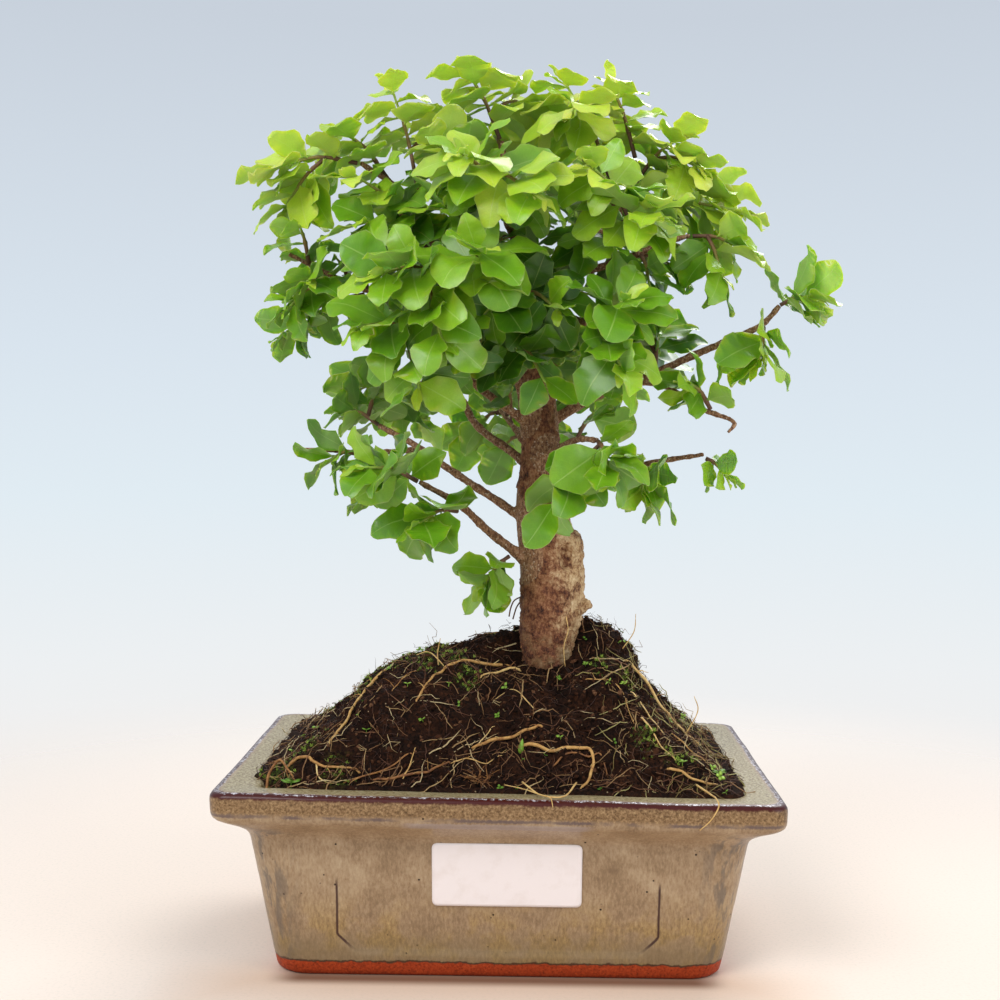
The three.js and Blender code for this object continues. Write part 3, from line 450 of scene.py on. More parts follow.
def layered(add, colour, *layers):
    """Lays colours over a colour, each one at its strength and through its masks."""
    for over, strength, *masks in layers:
        for mask in masks:
            strength = add("Math:MULTIPLY", mask, strength)
        over = linear(over) if isinstance(over, str) else over
        colour = add("Mix:RGBA", {0: strength, 6: colour, 7: over}, out=2)
    return colour


def dress(material, colour, height=None, strength=0, depth=0, gloss=None):
    """Links a material's colour, its relief, whose depth is in metres, and a roughness that varies."""
    tree = material.node_tree
    relief = node(tree, "Bump", strength, depth, {"Height": height}) if height is not None else None
    for value, name in ((colour, "Base Color"), (relief, "Normal"), (gloss, "Roughness")):
        if value is not None:
            tree.links.new(value, tree.nodes["Principled BSDF"].inputs[name])
    return material


def pot_outline(inset, corner, z):
    """A ring of the pot at a height, drawn in from the rim."""
    x = RIM_LENGTH / 2 - inset - corner
    y = RIM_DEPTH / 2 - inset - corner
    ring = []
    centres = [(x, y), (-x, y), (-x, -y), (x, -y)]
    for c, (cx, cy) in enumerate(centres):
        for k in range(11):
            angle = math.pi * (0.5 * c + 0.05 * k)
            ring.append((cx + corner * math.cos(angle), cy + corner * math.sin(angle)))
        nx, ny = centres[(c + 1) % 4]
        angle = math.pi * 0.5 * (c + 1)
        end = (nx + corner * math.cos(angle), ny + corner * math.sin(angle))
        start = ring[-1]
        steps = 112 if c % 2 == 0 else 60
        ring += [[lerp(a, b, k / steps) for a, b in zip(start, end)] for k in range(1, steps)]
    return [(px, py, z - rim_fall(px) * (z / POT_HEIGHT) ** 2) for px, py in ring]


def rim_fall(x):
    """How much lower the rim stands at x than in its middle."""
    return RIM_FALL * (x / (RIM_LENGTH / 2))


def wall_inset(z):
    """How far in from the rim the leaning wall stands at a height."""
    return lerp(WALL_FOOT_INSET, WALL_TOP_INSET, (z - WALL_FOOT) / (WALL_TOP - WALL_FOOT))


def panel_edge(x, z):
    """How far a point of the long wall lies outside the panel's outline; inside it the value is below 0."""
    cut = (abs(x) - PANEL_HALF + PANEL_BOTTOM - z + PANEL_CHAMFER) / math.sqrt(2)
    return max(abs(x) - PANEL_HALF, PANEL_BOTTOM - z, cut, z - PANEL_TOP)


def pot_sections():
    """The pot's section in steps of about a millimetre, and of 6 mm inside, with its corners eased."""
    fine = []
    for start, end in zip(POT_SECTION, POT_SECTION[1:]):
        reach = math.hypot(end[0] - start[0], end[2] - start[2])
        count = max(1, round(reach / (6 if start[2] == INNER_TOP else 1.25)))
        fine += [[lerp(a, b, k / count) for a, b in zip(start, end)] for k in range(count)]
    fine = np.array(fine + [POT_SECTION[-1]])
    for _ in range(2):
        fine[1:-1] = 0.25 * fine[:-2] + 0.5 * fine[1:-1] + 0.25 * fine[2:]
    return fine


def pot_piece(settings):
    """The pot as a skin over its section, with a sunk panel, a little unevenness and two drilled drains."""
    sections = pot_sections()
    reach = np.concatenate([[0], np.cumsum(np.hypot(np.diff(sections[:, 0]), np.diff(sections[:, 2])))])
    crest = reach[np.argmax(sections[:, 2])]
    points = []
    lip = []
    edge = []
    for (inset, corner, z), run in zip(sections, reach):
        for px, py, pz in pot_outline(inset, corner, z):
            margin = PANEL_REACH
            out = Vector((px * 0.4, py, 0)).normalized()
            spot = Vector((px, py, pz))
            if run < crest and 6 < z < PANEL_TOP + 2 and abs(py) > RIM_DEPTH / 2 - 18.5:
                margin = min(panel_edge(px, z), PANEL_REACH)
                depth = PANEL_DEPTH * (PANEL_TOP - z) / (PANEL_TOP - PANEL_BOTTOM)
                groove = 0.3 * math.exp(-(margin / 0.8) ** 2) * (z < 32)
                spot.y -= math.copysign(max(depth, 0) * ease(0.3, -0.9, margin) + groove, py)
            if 1 < z:
                spot += out * (0.35 * noise.noise(spot * 0.05) + 0.1 * noise.noise(spot * 0.3))
                spot.z += 0.25 * noise.noise(Vector((px * 0.04, py * 0.04, 5))) * ease(40, 60, z)
            points.append(spot)
            edge.append(margin)
            lip.append(run - crest)
    count = len(points)
    columns = count // len(sections)
    points += [(0, 0, POT_SECTION[0][2]), (0, 0, FLOOR_TOP)]
    faces = grid(len(sections), columns)
    faces += [(count, (c + 1) % columns, c) for c in range(columns)]
    last = count - columns
    faces += [(count + 1, last + c, last + (c + 1) % columns) for c in range(columns)]
    skin = Skin()
    skin.add(points, faces, lip=lip + [-200, 200], panel=edge + [PANEL_REACH] * 2)
    pot = skin.piece("pot_glazed", [ash_glaze(settings)])
    for x in (-DRAIN_OUT, DRAIN_OUT):
        drill = Skin()
        drill.rings([[(x + px, py, z) for px, py in circle(DRAIN_RADIUS, 32)] for z in (-5, 20)])
        cutter = drill.piece("drill", [])
        modifier = pot.modifiers.new("drain", "BOOLEAN")
        modifier.object = cutter
        modifier.operation = "DIFFERENCE"
        modifier.solver = "EXACT"
        evaluated(pot)
        bpy.data.objects.remove(cutter)
    settle(pot, "glazed_stoneware", "pot")


def ash_glaze(settings):
    """Stoneware under a wood-ash glaze: taupe with fine runs, ochre where it pooled low, wine-dark where it
    broke over the rim's edge, and the bare foot fired orange."""
    material, add, place = surface("stoneware_ash_glaze", 0.3, Coat_Weight=settings.glaze_gloss,
                                   Coat_Roughness=0.12, Specular_IOR_Level=0.22)
    lip = add("Attribute:lip", out="Fac")
    panel = add("Attribute:panel", out="Fac")
    height = add("SeparateXYZ", place, out=2)
    depth = add("Math:SUBTRACT", add("SeparateXYZ", place, out=1), SHIFT.y)
    aside = add("Math:ABSOLUTE", add("Math:SUBTRACT", add("SeparateXYZ", place), SHIFT.x))
    # Runs of glaze about 0.9 mm wide and 2.5 mm long, over patches of about 14 mm.
    runs = add("TexNoise", add("VectorMath:MULTIPLY", place, (1, 1, 0.36)), None, 1 / 0.9, 5, 0.68)
    patches = add("TexNoise", place, None, 1 / 14, 4, 0.6)
    grain = add("TexNoise", place, None, 1 / 0.9, 4, 0.7)
    body = add("Math:MULTIPLY_ADD", runs, 0.5, add("Math:MULTIPLY", patches, 0.5))
    taupe = add("ValToRGB", body, stops=[
        (0.3, "7a6048"), (0.42, "8f7456"), (0.5, "a08465"), (0.6, "b09676"), (0.75, "c2ab8c"),
    ])
    ochre = add("ValToRGB", runs, stops=[(0.3, "6b5228"), (0.5, "97763e"), (0.72, "b99452")])
    golden, olive, clay = (add("ValToRGB", grain, stops=stops) for stops in (
        [(0.3, "4a331d"), (0.42, "6e5132"), (0.53, "8a6a47"), (0.68, "a88a62")],
        [(0.3, "3d2410"), (0.4, "7a623c"), (0.5, "a29068"), (0.64, "c4b693")],
        [(0.26, "240a04"), (0.36, "84300f"), (0.5, "a33a16"), (0.72, "b84c20")],
    ))
    # The ways up over the lip and up the wall, with edges that wander as glaze does.
    wander = strayed(add, lip, 1.8, grain)
    ragged = strayed(add, lip, 2.2, add("TexNoise", place, None, 1 / 2.4, 4, 0.7))
    hem = strayed(add, height, 2.4, add("TexNoise", place, None, 1 / 3.5, 4, 0.6))
    broken = add("TexNoise", add("VectorMath:MULTIPLY", place, (0.5, 0.5, 1)), None, 1 / 9, 2)
    # Painted highlight: the bright specks of this pattern become the white glints painted on the rim's edge.
    glint_specks = add("TexNoise", place, None, 1 / 1.3, 3, 0.8)
    smudges = add("TexNoise", add("VectorMath:MULTIPLY", place, (1, 1, 0.16)), None, 1 / 4, 4, 0.6)
    spots = add("TexVoronoi", place, None, 1 / 4.2, out="Distance")
    pits = add("Math:MULTIPLY", add(EASED, spots, 0.12, 0.05), add(EASED, patches, 0.5, 0.56))
    bare = add("Math:MAXIMUM", add(EASED, hem, 5.2, 4.7), add(EASED, lip, 14.5, 15.5))
    colour = layered(
        add, taupe,
        # Ochre pools and an ash-grey tide low on the wall.
        (ochre, 0.75, add(EASED, height, 34, 12), add(EASED, patches, 0.42, 0.6)),
        ("7d6b4c", 0.55, add(EASED, height, 20, 8)),
        # The rim's outer band: golden and speckled, with a broken grey-purple line where the wall begins.
        (golden, 1, between(add, wander, -9.6, -7.4, -1.4, -0.6)),
        ("5b4a4a", 0.8, between(add, wander, -9.9, -9.1, -8.8, -8.0), add(EASED, broken, 0.44, 0.56)),
        # The rim's upper face: pale olive grey with brown specks.
        (olive, 1, add(EASED, wander, 0.1, 1.3)),
        # The edge itself: a wine-dark line, with painted highlights: broken white glints painted along its
        # upper side.
        ("440e07", 1, between(add, ragged, -4.0, -3.0, -0.5, 0.1)),
        ("d6cfd2", 1, between(add, ragged, -1.8, -1.2, -0.3, 0.3), add(EASED, glint_specks, 0.5, 0.6)),
        # A lilac film under the rim at the front, and blue-grey smudges that run down by the corners.
        ("a3938e", 0.6, between(add, wander, -13.4, -12.6, -10.4, -9.8), add(EASED, aside, 33, 27),
         add("MapRange", depth, 0, -40)),
        ("5a5450", 0.6, add(EASED, smudges, 0.48, 0.6), add(EASED, aside, 64, 76),
         add(EASED, add("Math:ABSOLUTE", depth), 38, 50), add(EASED, height, 56, 50)),
        # The panel's outline: glaze pooled dark in its groove, thin at the bottom.
        ("35161a", 0.9, between(add, panel, -0.6, -0.15, 0.2, 0.55), between(add, height, 8.5, 13, 32, 36)),
        # Iron spots, 0.5 to 1 mm.
        ("2a1710", 1, pits),
        # The bare foot, with a ragged dark line where the glaze stops.
        ("3c1a10", 0.85, add(EASED, hem, 5.9, 5.3)), (clay, 1, bare),
    )
    gloss = add("MapRange", bare, 0, 1, 0.27, 0.85)
    gloss = add("Mix", {0: add("Math:MULTIPLY", grain, 0.5), 2: gloss, 3: 0.6})
    relief = add("Math:MULTIPLY_ADD", grain, 0.5, add("Math:MULTIPLY", runs, 0.5))
    return dress(material, colour, add("Math:SUBTRACT", relief, pits), 0.35, 0.0004, gloss)


def screen_plastic():
    """Moulded polypropylene mesh, dull green-black, with a faint moulding grain."""
    material, add, place = surface("polypropylene_moulded", 0.55)
    grain = add("TexNoise", place, None, 1 / 0.4, 3)
    colour = add("ValToRGB", grain, stops=[(0.3, "171b17"), (0.7, "2b302a")])
    return dress(material, colour, grain, 0.2, 0.0001)


def label_piece(settings):
    """The blank label, bent to the wall that it sticks to, with its right end a little loose."""
    half = np.array([settings.label_length, settings.label_height]) * 500
    lean = math.atan((WALL_FOOT_INSET - WALL_TOP_INSET) / (WALL_TOP - WALL_FOOT))
    columns = 56
    rows = 26
    points = []
    for side in (0, 1):
        for v in -1 + 2 * np.arange(rows + 1) / rows:
            for u in -1 + 2 * np.arange(columns + 1) / columns:
                spot = half * (u, v)
                inner = half - LABEL_CORNER
                past = np.maximum(abs(spot) - inner, 0)
                if past.min() > 0:
                    spot = np.copysign(inner + past * (past.max() / math.hypot(*past)), spot)
                x, y = spot
                up = y + half[1]
                waved = 0.05 * noise.noise(Vector((x * 0.2, y * 0.2, 3)))
                out = 0.08 + side * 0.27 + max(0.25 * ease(0.8, 1, u) * ease(0, 1, v) + waved, 0)
                wall = -RIM_DEPTH / 2 + wall_inset(LABEL_BOTTOM) - up * math.sin(lean)
                points.append((x + LABEL_MIDDLE, wall - out * math.cos(lean),
                               LABEL_BOTTOM + up * math.cos(lean) - out * math.sin(lean)))
    wide = columns + 1
    count = wide * (rows + 1)
    faces = []
    for a in (r * wide + c for r in range(rows) for c in range(columns)):
        faces.append((a, a + wide, a + wide + 1, a + 1))
        faces.append((count + a, count + a + 1, count + a + wide + 1, count + a + wide))
    rim = [*range(wide), *range(2 * wide - 1, count, wide), *range(count - 2, count - wide - 1, -1),
           *range(count - 2 * wide, 0, -wide)]
    faces += [(a, b, count + b, count + a) for a, b in zip(rim, rim[1:] + rim[:1])]
    skin = Skin()
    skin.add(points, faces)
    settle(skin.piece("label_blank", [label_paper(settings)]), "label_paper", "label")


def label_paper(settings):
    """Coated paper, calendered: pinkish white, faintly mottled by its fibres and grubby in places."""
    material, add, place = surface("coated_paper_label", 0.42)
    fibres = add("TexNoise", add("VectorMath:MULTIPLY", place, (1, 1, 2.5)), None, 1 / 0.5, 5, 0.7)
    stains = add("TexNoise", place, None, 1 / 7, 4, 0.6)
    colour = layered(add, (*settings.label_colour, 1), ("dccabf", 0.4, add("MapRange", stains, 0.5, 0.8)),
                     ("fbf5f3", 1, add(EASED, fibres, 0.58, 0.75)))
    return dress(material, colour, fibres, 0.15, 0.0001)


def slope_height(slope, f):
    """The height of a slope of the mound at a share of the way from the stem to the pot's wall."""
    k = 1
    while k < len(slope) - 1 and f > slope[k][0]:
        k += 1
    (f0, h0), (f1, h1) = slope[k - 1], slope[k]
    return lerp(h0, h1, (f - f0) / (f1 - f0))


def soil_point(out, f):
    """A point of the mound at share f of the way from the stem to the pot's wall, as the CAD has it."""
    dx = out[0] - STEM_FOOT[0]
    dy = out[1] - STEM_FOOT[1]
    reach = math.hypot(dx, dy)
    across = (dx / RIM_LENGTH) ** 2
    # Next to the stem, the low front of the mound reaches round to its sides.
    low = (14 if dx < 0 else 3) if dy < 0 else 1
    deep = (dy / RIM_DEPTH) ** 2 * lerp(low, 1, ease(0.02, 0.26, f))

    def slope(share):
        side = slope_height(SOIL_LEFT if dx < 0 else SOIL_RIGHT, share)
        front = slope_height(SOIL_FRONT if dy < 0 else SOIL_BACK, share)
        return (across * side + deep * front) / (across + deep)

    mouth = 11.1 + 0.1 * (slope(0) - SOIL_FRONT[0][1])
    # A share below 0 is inside the hole that the stem stands in.
    r = 9 / reach if f < 0 else lerp(mouth / reach, 1, f)
    f = max(f, 0)
    x = STEM_FOOT[0] + dx * r
    y = STEM_FOOT[1] + dy * r
    broad = 1.1 * math.sin(0.21 * x + 0.7) * math.cos(0.26 * y)
    lumps = (broad + 0.7 * math.sin(0.43 * x - 0.37 * y + 2)) * math.sin(math.pi * f)
    return Vector((x, y, slope(f) + lumps - rim_fall(x) * f))


# Weeds in the front of the mound: x, y, size and how many leaves.
WEEDS = [(-69.7, -54.3, 5.6, 5), (75.2, -42, 5, 4), (-46, -40, 2.6, 3), (62, -48, 2.8, 4), (-33, -26, 2.4, 3)]
BUD_SPOT = (7.1, -44.1)
FIBRE_SIZES = ("Shortest", "Longest", "Thinnest", "Thickest", "Bend", "Cling", "Lift")
# Patches of moss: x, y and radius.
MOSS = [
    (-66, -36, 6), (-76, -44, 7), (-55, -52, 5), (36, -14, 3.5), (44, -18, 3), (-22, -4, 9), (-45, 2, 9),
    (62, -44, 5), (50, -38, 4), (-12, -20, 4), (5, 20, 10), (-30, 25, 11), (40, 25, 9), (-60, 30, 10),
    (20, 45, 9),
]


def soil_piece():
    """The mound: clods over the CAD's slopes, drawn in to the stem and just over the pot's inner edge."""
    outline = pot_outline(15.9, RIM_CORNER, SOIL_EDGE - 1)
    # Rings from the floor of the pot up over the mound and down into the stem's hole.
    rings = [pot_outline(24, RIM_CORNER, SOIL_BOTTOM)]
    values = {key: [0.0] * len(outline) for key in ("open", "moss", "rim", "grass")}
    for f in (1.02, 1.01, *np.linspace(0, 1, 92)[::-1], -1):
        ring = []
        for out in outline:
            spot = soil_point(out, f)
            rough = 2.7 * noise.fractal(spot / 9, 0.9, 2.1, 5) * ease(1.02, 0.93, f) * ease(-0.5, 0.06, f)
            fine = 1.7 * noise.fractal(spot / 2.3 + Vector((7, 3, 1)), 0.8, 2.2, 3) * ease(1.03, 0.97, f)
            away = Vector((spot.x - STEM_FOOT[0], spot.y - STEM_FOOT[1], 14)).normalized()
            spot += away * (rough + fine)
            if f > 1:
                # Soil lies over the rim's inner edge, more at the two ends.
                spill = 1.2 + 2.2 * max(noise.noise(spot * 0.3) + 0.3, 0) + 1.2 * ease(60, 80, abs(spot.x))
                x, y = (math.copysign(max(abs(v) - core, 0), v) for v, core in zip(spot.xy, (60, 35)))
                spot += Vector((x, y, 0)).normalized() * (spill + 0.8 * (f > 1.015))
                spot.z = POT_HEIGHT - rim_fall(spot.x) + (0.5 if f < 1.015 else -2.2)
            # A hollow by the left front corner of the pot.
            spot.z -= 5 * ease(16, 3, math.hypot(spot.x + 80, spot.y + 55))
            ring.append(spot)
            near = max([ease(r * 1.5, r * 0.5, math.hypot(spot.x - x, spot.y - y)) for x, y, r in MOSS])
            values["open"].append(float(0 <= f <= 1))
            values["moss"].append(near * ease(-0.1, 0.25, noise.noise(spot * 0.45)))
            values["rim"].append(ease(0.9, 0.97, f) * (f <= 1.01))
            values["grass"].append(ease(20, 55, spot.x) * ease(-0.25, 0.2, noise.noise(spot * 0.12)))
        rings.append(ring)
    rings.append([(x, y, STEM_BOTTOM) for x, y, _ in rings[-1]])
    skin = Skin()
    skin.rings(rings)
    skin.values = values
    soil = skin.piece("soil_mound", [potting_soil()])
    settle(soil, "soil", "soil")
    return soil


def potting_soil():
    """Damp peaty loam, broken by hand: near-black crumbs, red-brown fibre and a few pale grains of grit."""
    material, add, place = surface("loam_damp", 0.95, Specular_IOR_Level=0.15)
    crumbs = add("TexNoise", place, None, 1 / 1.1, 6, 0.7)
    patches = add("TexNoise", place, None, 1 / 9, 4, 0.6)
    blend = add("Math:MULTIPLY_ADD", crumbs, 0.6, add("Math:MULTIPLY", patches, 0.4))
    colour = add("ValToRGB", blend, stops=[
        (0.3, "060201"), (0.43, "160a05"), (0.54, "2b160b"), (0.66, "472816"), (0.8, "6b452c"),
    ])
    grit = add("TexVoronoi", place, None, 1 / 3.1, out="Distance")
    colour = layered(
        add, colour, ("4c5a1c", 0.7, add("Attribute:moss", out="Fac"), add(EASED, crumbs, 0.4, 0.58)),
        ("9a8466", 1, add(EASED, grit, 0.1, 0.06)),
    )
    return dress(material, colour, crumbs, 0.9, 0.0009)


def shaded(name, stops, roughness, bump, size, **settings):
    """A material whose colour goes by each small piece's own shade, grained at the given size."""
    material, add, place = surface(name, roughness, **settings)
    grain = add("TexNoise", place, None, 1 / size, 4, 0.6)
    blend = strayed(add, add("Attribute:shade", out="Fac"), 0.35, grain)
    return dress(material, add("ValToRGB", blend, stops=stops), grain, bump, 0.0003)


def spreading_tree(name, inputs):
    """A geometry node tree with named inputs that spreads points over the part of the ground Where names."""
    tree = bpy.data.node_groups.new(name, "GeometryNodeTree")
    tree.interface.new_socket("Geometry", in_out="OUTPUT", socket_type="NodeSocketGeometry")
    for key, kind in {
        "Geometry": "Geometry", "Density": "Float", "Where": "String", "Seed": "Int", "Finish": "Material",
        **inputs,
    }.items():
        tree.interface.new_socket(key, in_out="INPUT", socket_type="NodeSocket" + kind)
    given = tree.nodes.new("NodeGroupInput").outputs
    add = partial(node, tree)
    where = add("GeometryNodeInputNamedAttribute", given["Where"], data_type="FLOAT")
    spread = add("GeometryNodeDistributePointsOnFaces", given["Geometry"], {
        "Density": add("Math:MULTIPLY", where, given["Density"]), "Seed": given["Seed"],
    })
    return tree, add, given, spread


def scatter_tree():
    """Sets small pieces on a surface: how many to the square metre, how big, and on which part of it."""
    tree, add, given, spread = spreading_tree("scattered_pieces", {
        "Pieces": "Collection", "Smallest": "Float", "Largest": "Float", "Upright": "Float",
    })
    turn = add("FunctionNodeRandomValue:FLOAT_VECTOR", (0, 0, 0), (0.7, 0.7, 6.28), {"Seed": given["Seed"]})
    spin = add("FunctionNodeEulerToRotation", turn)
    flat = add("FunctionNodeRotateRotation:LOCAL", spread.node.outputs["Rotation"], spin)
    pose = add("Mix:ROTATION", {"Factor": given["Upright"], 8: flat, 9: spin}, out=3)
    size = add("FunctionNodeRandomValue", {
        2: given["Smallest"], 3: given["Largest"], "Seed": given["Seed"],
    }, out=1)
    placed = add("GeometryNodeInstanceOnPoints", spread, {
        "Instance": add("GeometryNodeCollectionInfo", given["Pieces"], True, True), "Pick Instance": True,
        "Rotation": pose, "Scale": size,
    })
    shade = add("FunctionNodeRandomValue", {2: 0.0, 3: 1.0, "Seed": given["Seed"]}, out=1)
    placed = add("GeometryNodeStoreNamedAttribute", placed, None, "shade", shade, data_type="FLOAT",
                 domain="INSTANCE")
    real = add("GeometryNodeRealizeInstances", placed)
    add("NodeGroupOutput", add("GeometryNodeSetMaterial", real, None, given["Finish"]))
    return tree


def drape_tree():
    """Lays fine fibres on a surface: each starts straight, is bent by noise and drawn down to the ground."""
    tree, add, given, spread = spreading_tree("draped_fibres", dict.fromkeys(FIBRE_SIZES, "Float"))
    line = add("GeometryNodeCurvePrimitiveLine", (-0.5, 0, 0), (0.5, 0, 0))
    turn = add("FunctionNodeRandomValue:FLOAT_VECTOR", (-0.25, -0.5, 0), (0.25, 0.5, 6.28), {
        "Seed": given["Seed"],
    })
    pose = add("FunctionNodeRotateRotation:LOCAL", spread.node.outputs["Rotation"],
               add("FunctionNodeEulerToRotation", turn))
    size = add("FunctionNodeRandomValue", {
        2: given["Shortest"], 3: given["Longest"], "Seed": given["Seed"],
    }, out=1)
    strand = add("GeometryNodeResampleCurve", line, None, {"Count": 10})
    placed = add("GeometryNodeInstanceOnPoints", spread, {
        "Instance": strand, "Rotation": pose, "Scale": size,
    })
    for key, low, high in (
        ("shade", 0.0, 1.0), ("girth", given["Thinnest"], given["Thickest"]), ("own", 0.0, 50.0),
    ):
        value = add("FunctionNodeRandomValue", {2: low, 3: high, "Seed": given["Seed"]}, out=1)
        placed = add("GeometryNodeStoreNamedAttribute", placed, None, key, value, data_type="FLOAT",
                     domain="INSTANCE")
    real = add("GeometryNodeRealizeInstances", placed)
    spot = add("GeometryNodeInputPosition")
    own = add("GeometryNodeInputNamedAttribute", "own", data_type="FLOAT")
    sway = add("TexNoise", spot, own, 180.0, 2.0, noise_dimensions="4D", out=1)
    sway = add("VectorMath:SCALE", add("VectorMath:SUBTRACT", sway, (0.5, 0.5, 0.5)), {3: given["Bend"]})
    bent = add("VectorMath:ADD", spot, sway)
    low = add("GeometryNodeProximity", given["Geometry"], {"Sample Position": bent}, target_element="FACES")
    laid = add("Mix:VECTOR", {"Factor": given["Cling"], 4: bent, 5: low}, out=1)
    laid = add("VectorMath:ADD", laid, add("CombineXYZ", 0.0, 0.0, given["Lift"]))
    real = add("GeometryNodeSetPosition", real, None, laid)
    # A fibre is thickest at 0.42 of its length.
    side = add("Math:POWER", add("Math:SUBTRACT", add("GeometryNodeSplineParameter"), 0.42), 2.0)
    girth = add("GeometryNodeInputNamedAttribute", "girth", data_type="FLOAT")
    radius = add("Math:MULTIPLY", girth, add("Math:MULTIPLY_ADD", side, -2.6, 1.0))
    section = add("GeometryNodeCurvePrimitiveCircle", 4, {"Radius": 1.0})
    skin = add("GeometryNodeCurveToMesh", real, section, {"Scale": radius, "Fill Caps": True})
    skin = add("GeometryNodeSetShadeSmooth", skin)
    add("NodeGroupOutput", add("GeometryNodeSetMaterial", skin, None, given["Finish"]))
    return tree


def grown(name, ground, tree, **inputs):
    """Runs a geometry tree on a copy of the ground and keeps its result as a plain piece."""
    item = bpy.data.objects.new(name, ground.data.copy())
    bpy.context.scene.collection.objects.link(item)
    modifier = item.modifiers.new(name, "NODES")
    modifier.node_group = tree
    for socket in tree.interface.items_tree:
        if socket.in_out == "INPUT" and socket.name in inputs:
            modifier[socket.identifier] = inputs[socket.name]
    evaluated(item)
    if not len(item.data.polygons):
        raise RuntimeError(name + " came out empty")
    return item


def kit(name, skins):
    """A hidden collection of small pieces to scatter, each one about 1 across."""
    collection = bpy.data.collections.new(name)
    for k, (points, faces) in enumerate(skins):
        mesh = bpy.data.meshes.new(f"{name}_{k}")
        mesh.from_pydata([tuple(p) for p in points], [], faces)
        mesh.polygons.foreach_set("use_smooth", [name != "crumb_kit"] * len(faces))
        collection.objects.link(bpy.data.objects.new(f"{name}_{k}", mesh))
    return collection


def lump(seed):
    """An uneven crumb of 20 faces."""
    golden = (1 + math.sqrt(5)) / 2
    points = []
    for a, b in product((-1, 1), (-golden, golden)):
        points += [Vector((0, a, b)), Vector((a, b, 0)), Vector((b, 0, a))]
    from_centre = [p.normalized() * (0.5 + 0.4 * (chance(seed, k) - 0.5)) for k, p in enumerate(points)]
    faces = []
    for i, j, k in permutations(range(12), 3):
        a, b, c = points[i], points[j], points[k]
        longest = max((a - b).length, (b - c).length, (a - c).length)
        if i < min(j, k) and longest < 2.1 and (b - a).cross(c - a).dot(a) > 0:
            faces.append((i, j, k))
    squash = (1, 0.5 + 0.45 * chance(seed, 20), 0.35 + 0.4 * chance(seed, 21))
    return [[v * s for v, s in zip(p, squash)] for p in from_centre], faces


def tuft(seed, blades, lean):
    """A tuft of small pointed blades, four faces each."""
    points = []
    faces = []
    for k in range(blades):
        angle = 2 * math.pi * (k + chance(seed, k)) / blades
        out = Vector((math.cos(angle), math.sin(angle), 0))
        tip = out * lean * (0.5 + chance(seed, k + 30)) + Vector((0, 0, 0.5 + 0.5 * chance(seed, k + 60)))
        side = out.cross(UP) * 0.09
        start = len(points)
        points += [out * 0.05 - side, out * 0.05 + side, out * 0.16 + Vector((0, 0, -0.05)), tip]
        sides = ((0, 1, 3), (1, 2, 3), (2, 0, 3), (0, 2, 1))
        faces += [[start + corner for corner in face] for face in sides]
    return points, faces


def seedling(seed, leaves):
    """A weed seedling: round leaves on a short stalk."""
    skin = Skin()
    skin.rings([[(0.05 * math.cos(a), 0.05 * math.sin(a), z) for a in (0, 2.1, 4.2)] for z in (-0.2, 0.5)])
    for k in range(leaves):
        angle = 2 * math.pi * k / leaves + chance(seed, k)
        out = Vector((math.cos(angle), math.sin(angle), 0.25)).normalized()
        side = out.cross(UP).normalized()
        face = side.cross(out)
        middle = Vector((0, 0, 0.5)) + out * 0.36
        around = np.linspace(0, 5.385, 7)
        loop = [middle + out * 0.33 * math.cos(a) + side * 0.26 * math.sin(a) for a in around]
        points = loop + [middle + face * 0.04, middle - face * 0.05]
        turn = 1 if (loop[1] - loop[0]).cross(points[7] - loop[0]).dot(face) > 0 else -1
        faces = [(c, (c + 1) % 7, 7)[::turn] for c in range(7)]
        skin.add(points, faces + [((c + 1) % 7, c, 8)[::turn] for c in range(7)])
    return skin.points, skin.faces


def surface_of(item):
    """A piece's faces, in millimetres from the pot's middle, to drop points on."""
    points = [v.co * 1000 - SHIFT for v in item.data.vertices]
    return BVHTree.FromPolygons(points, [tuple(p.vertices) for p in item.data.polygons])


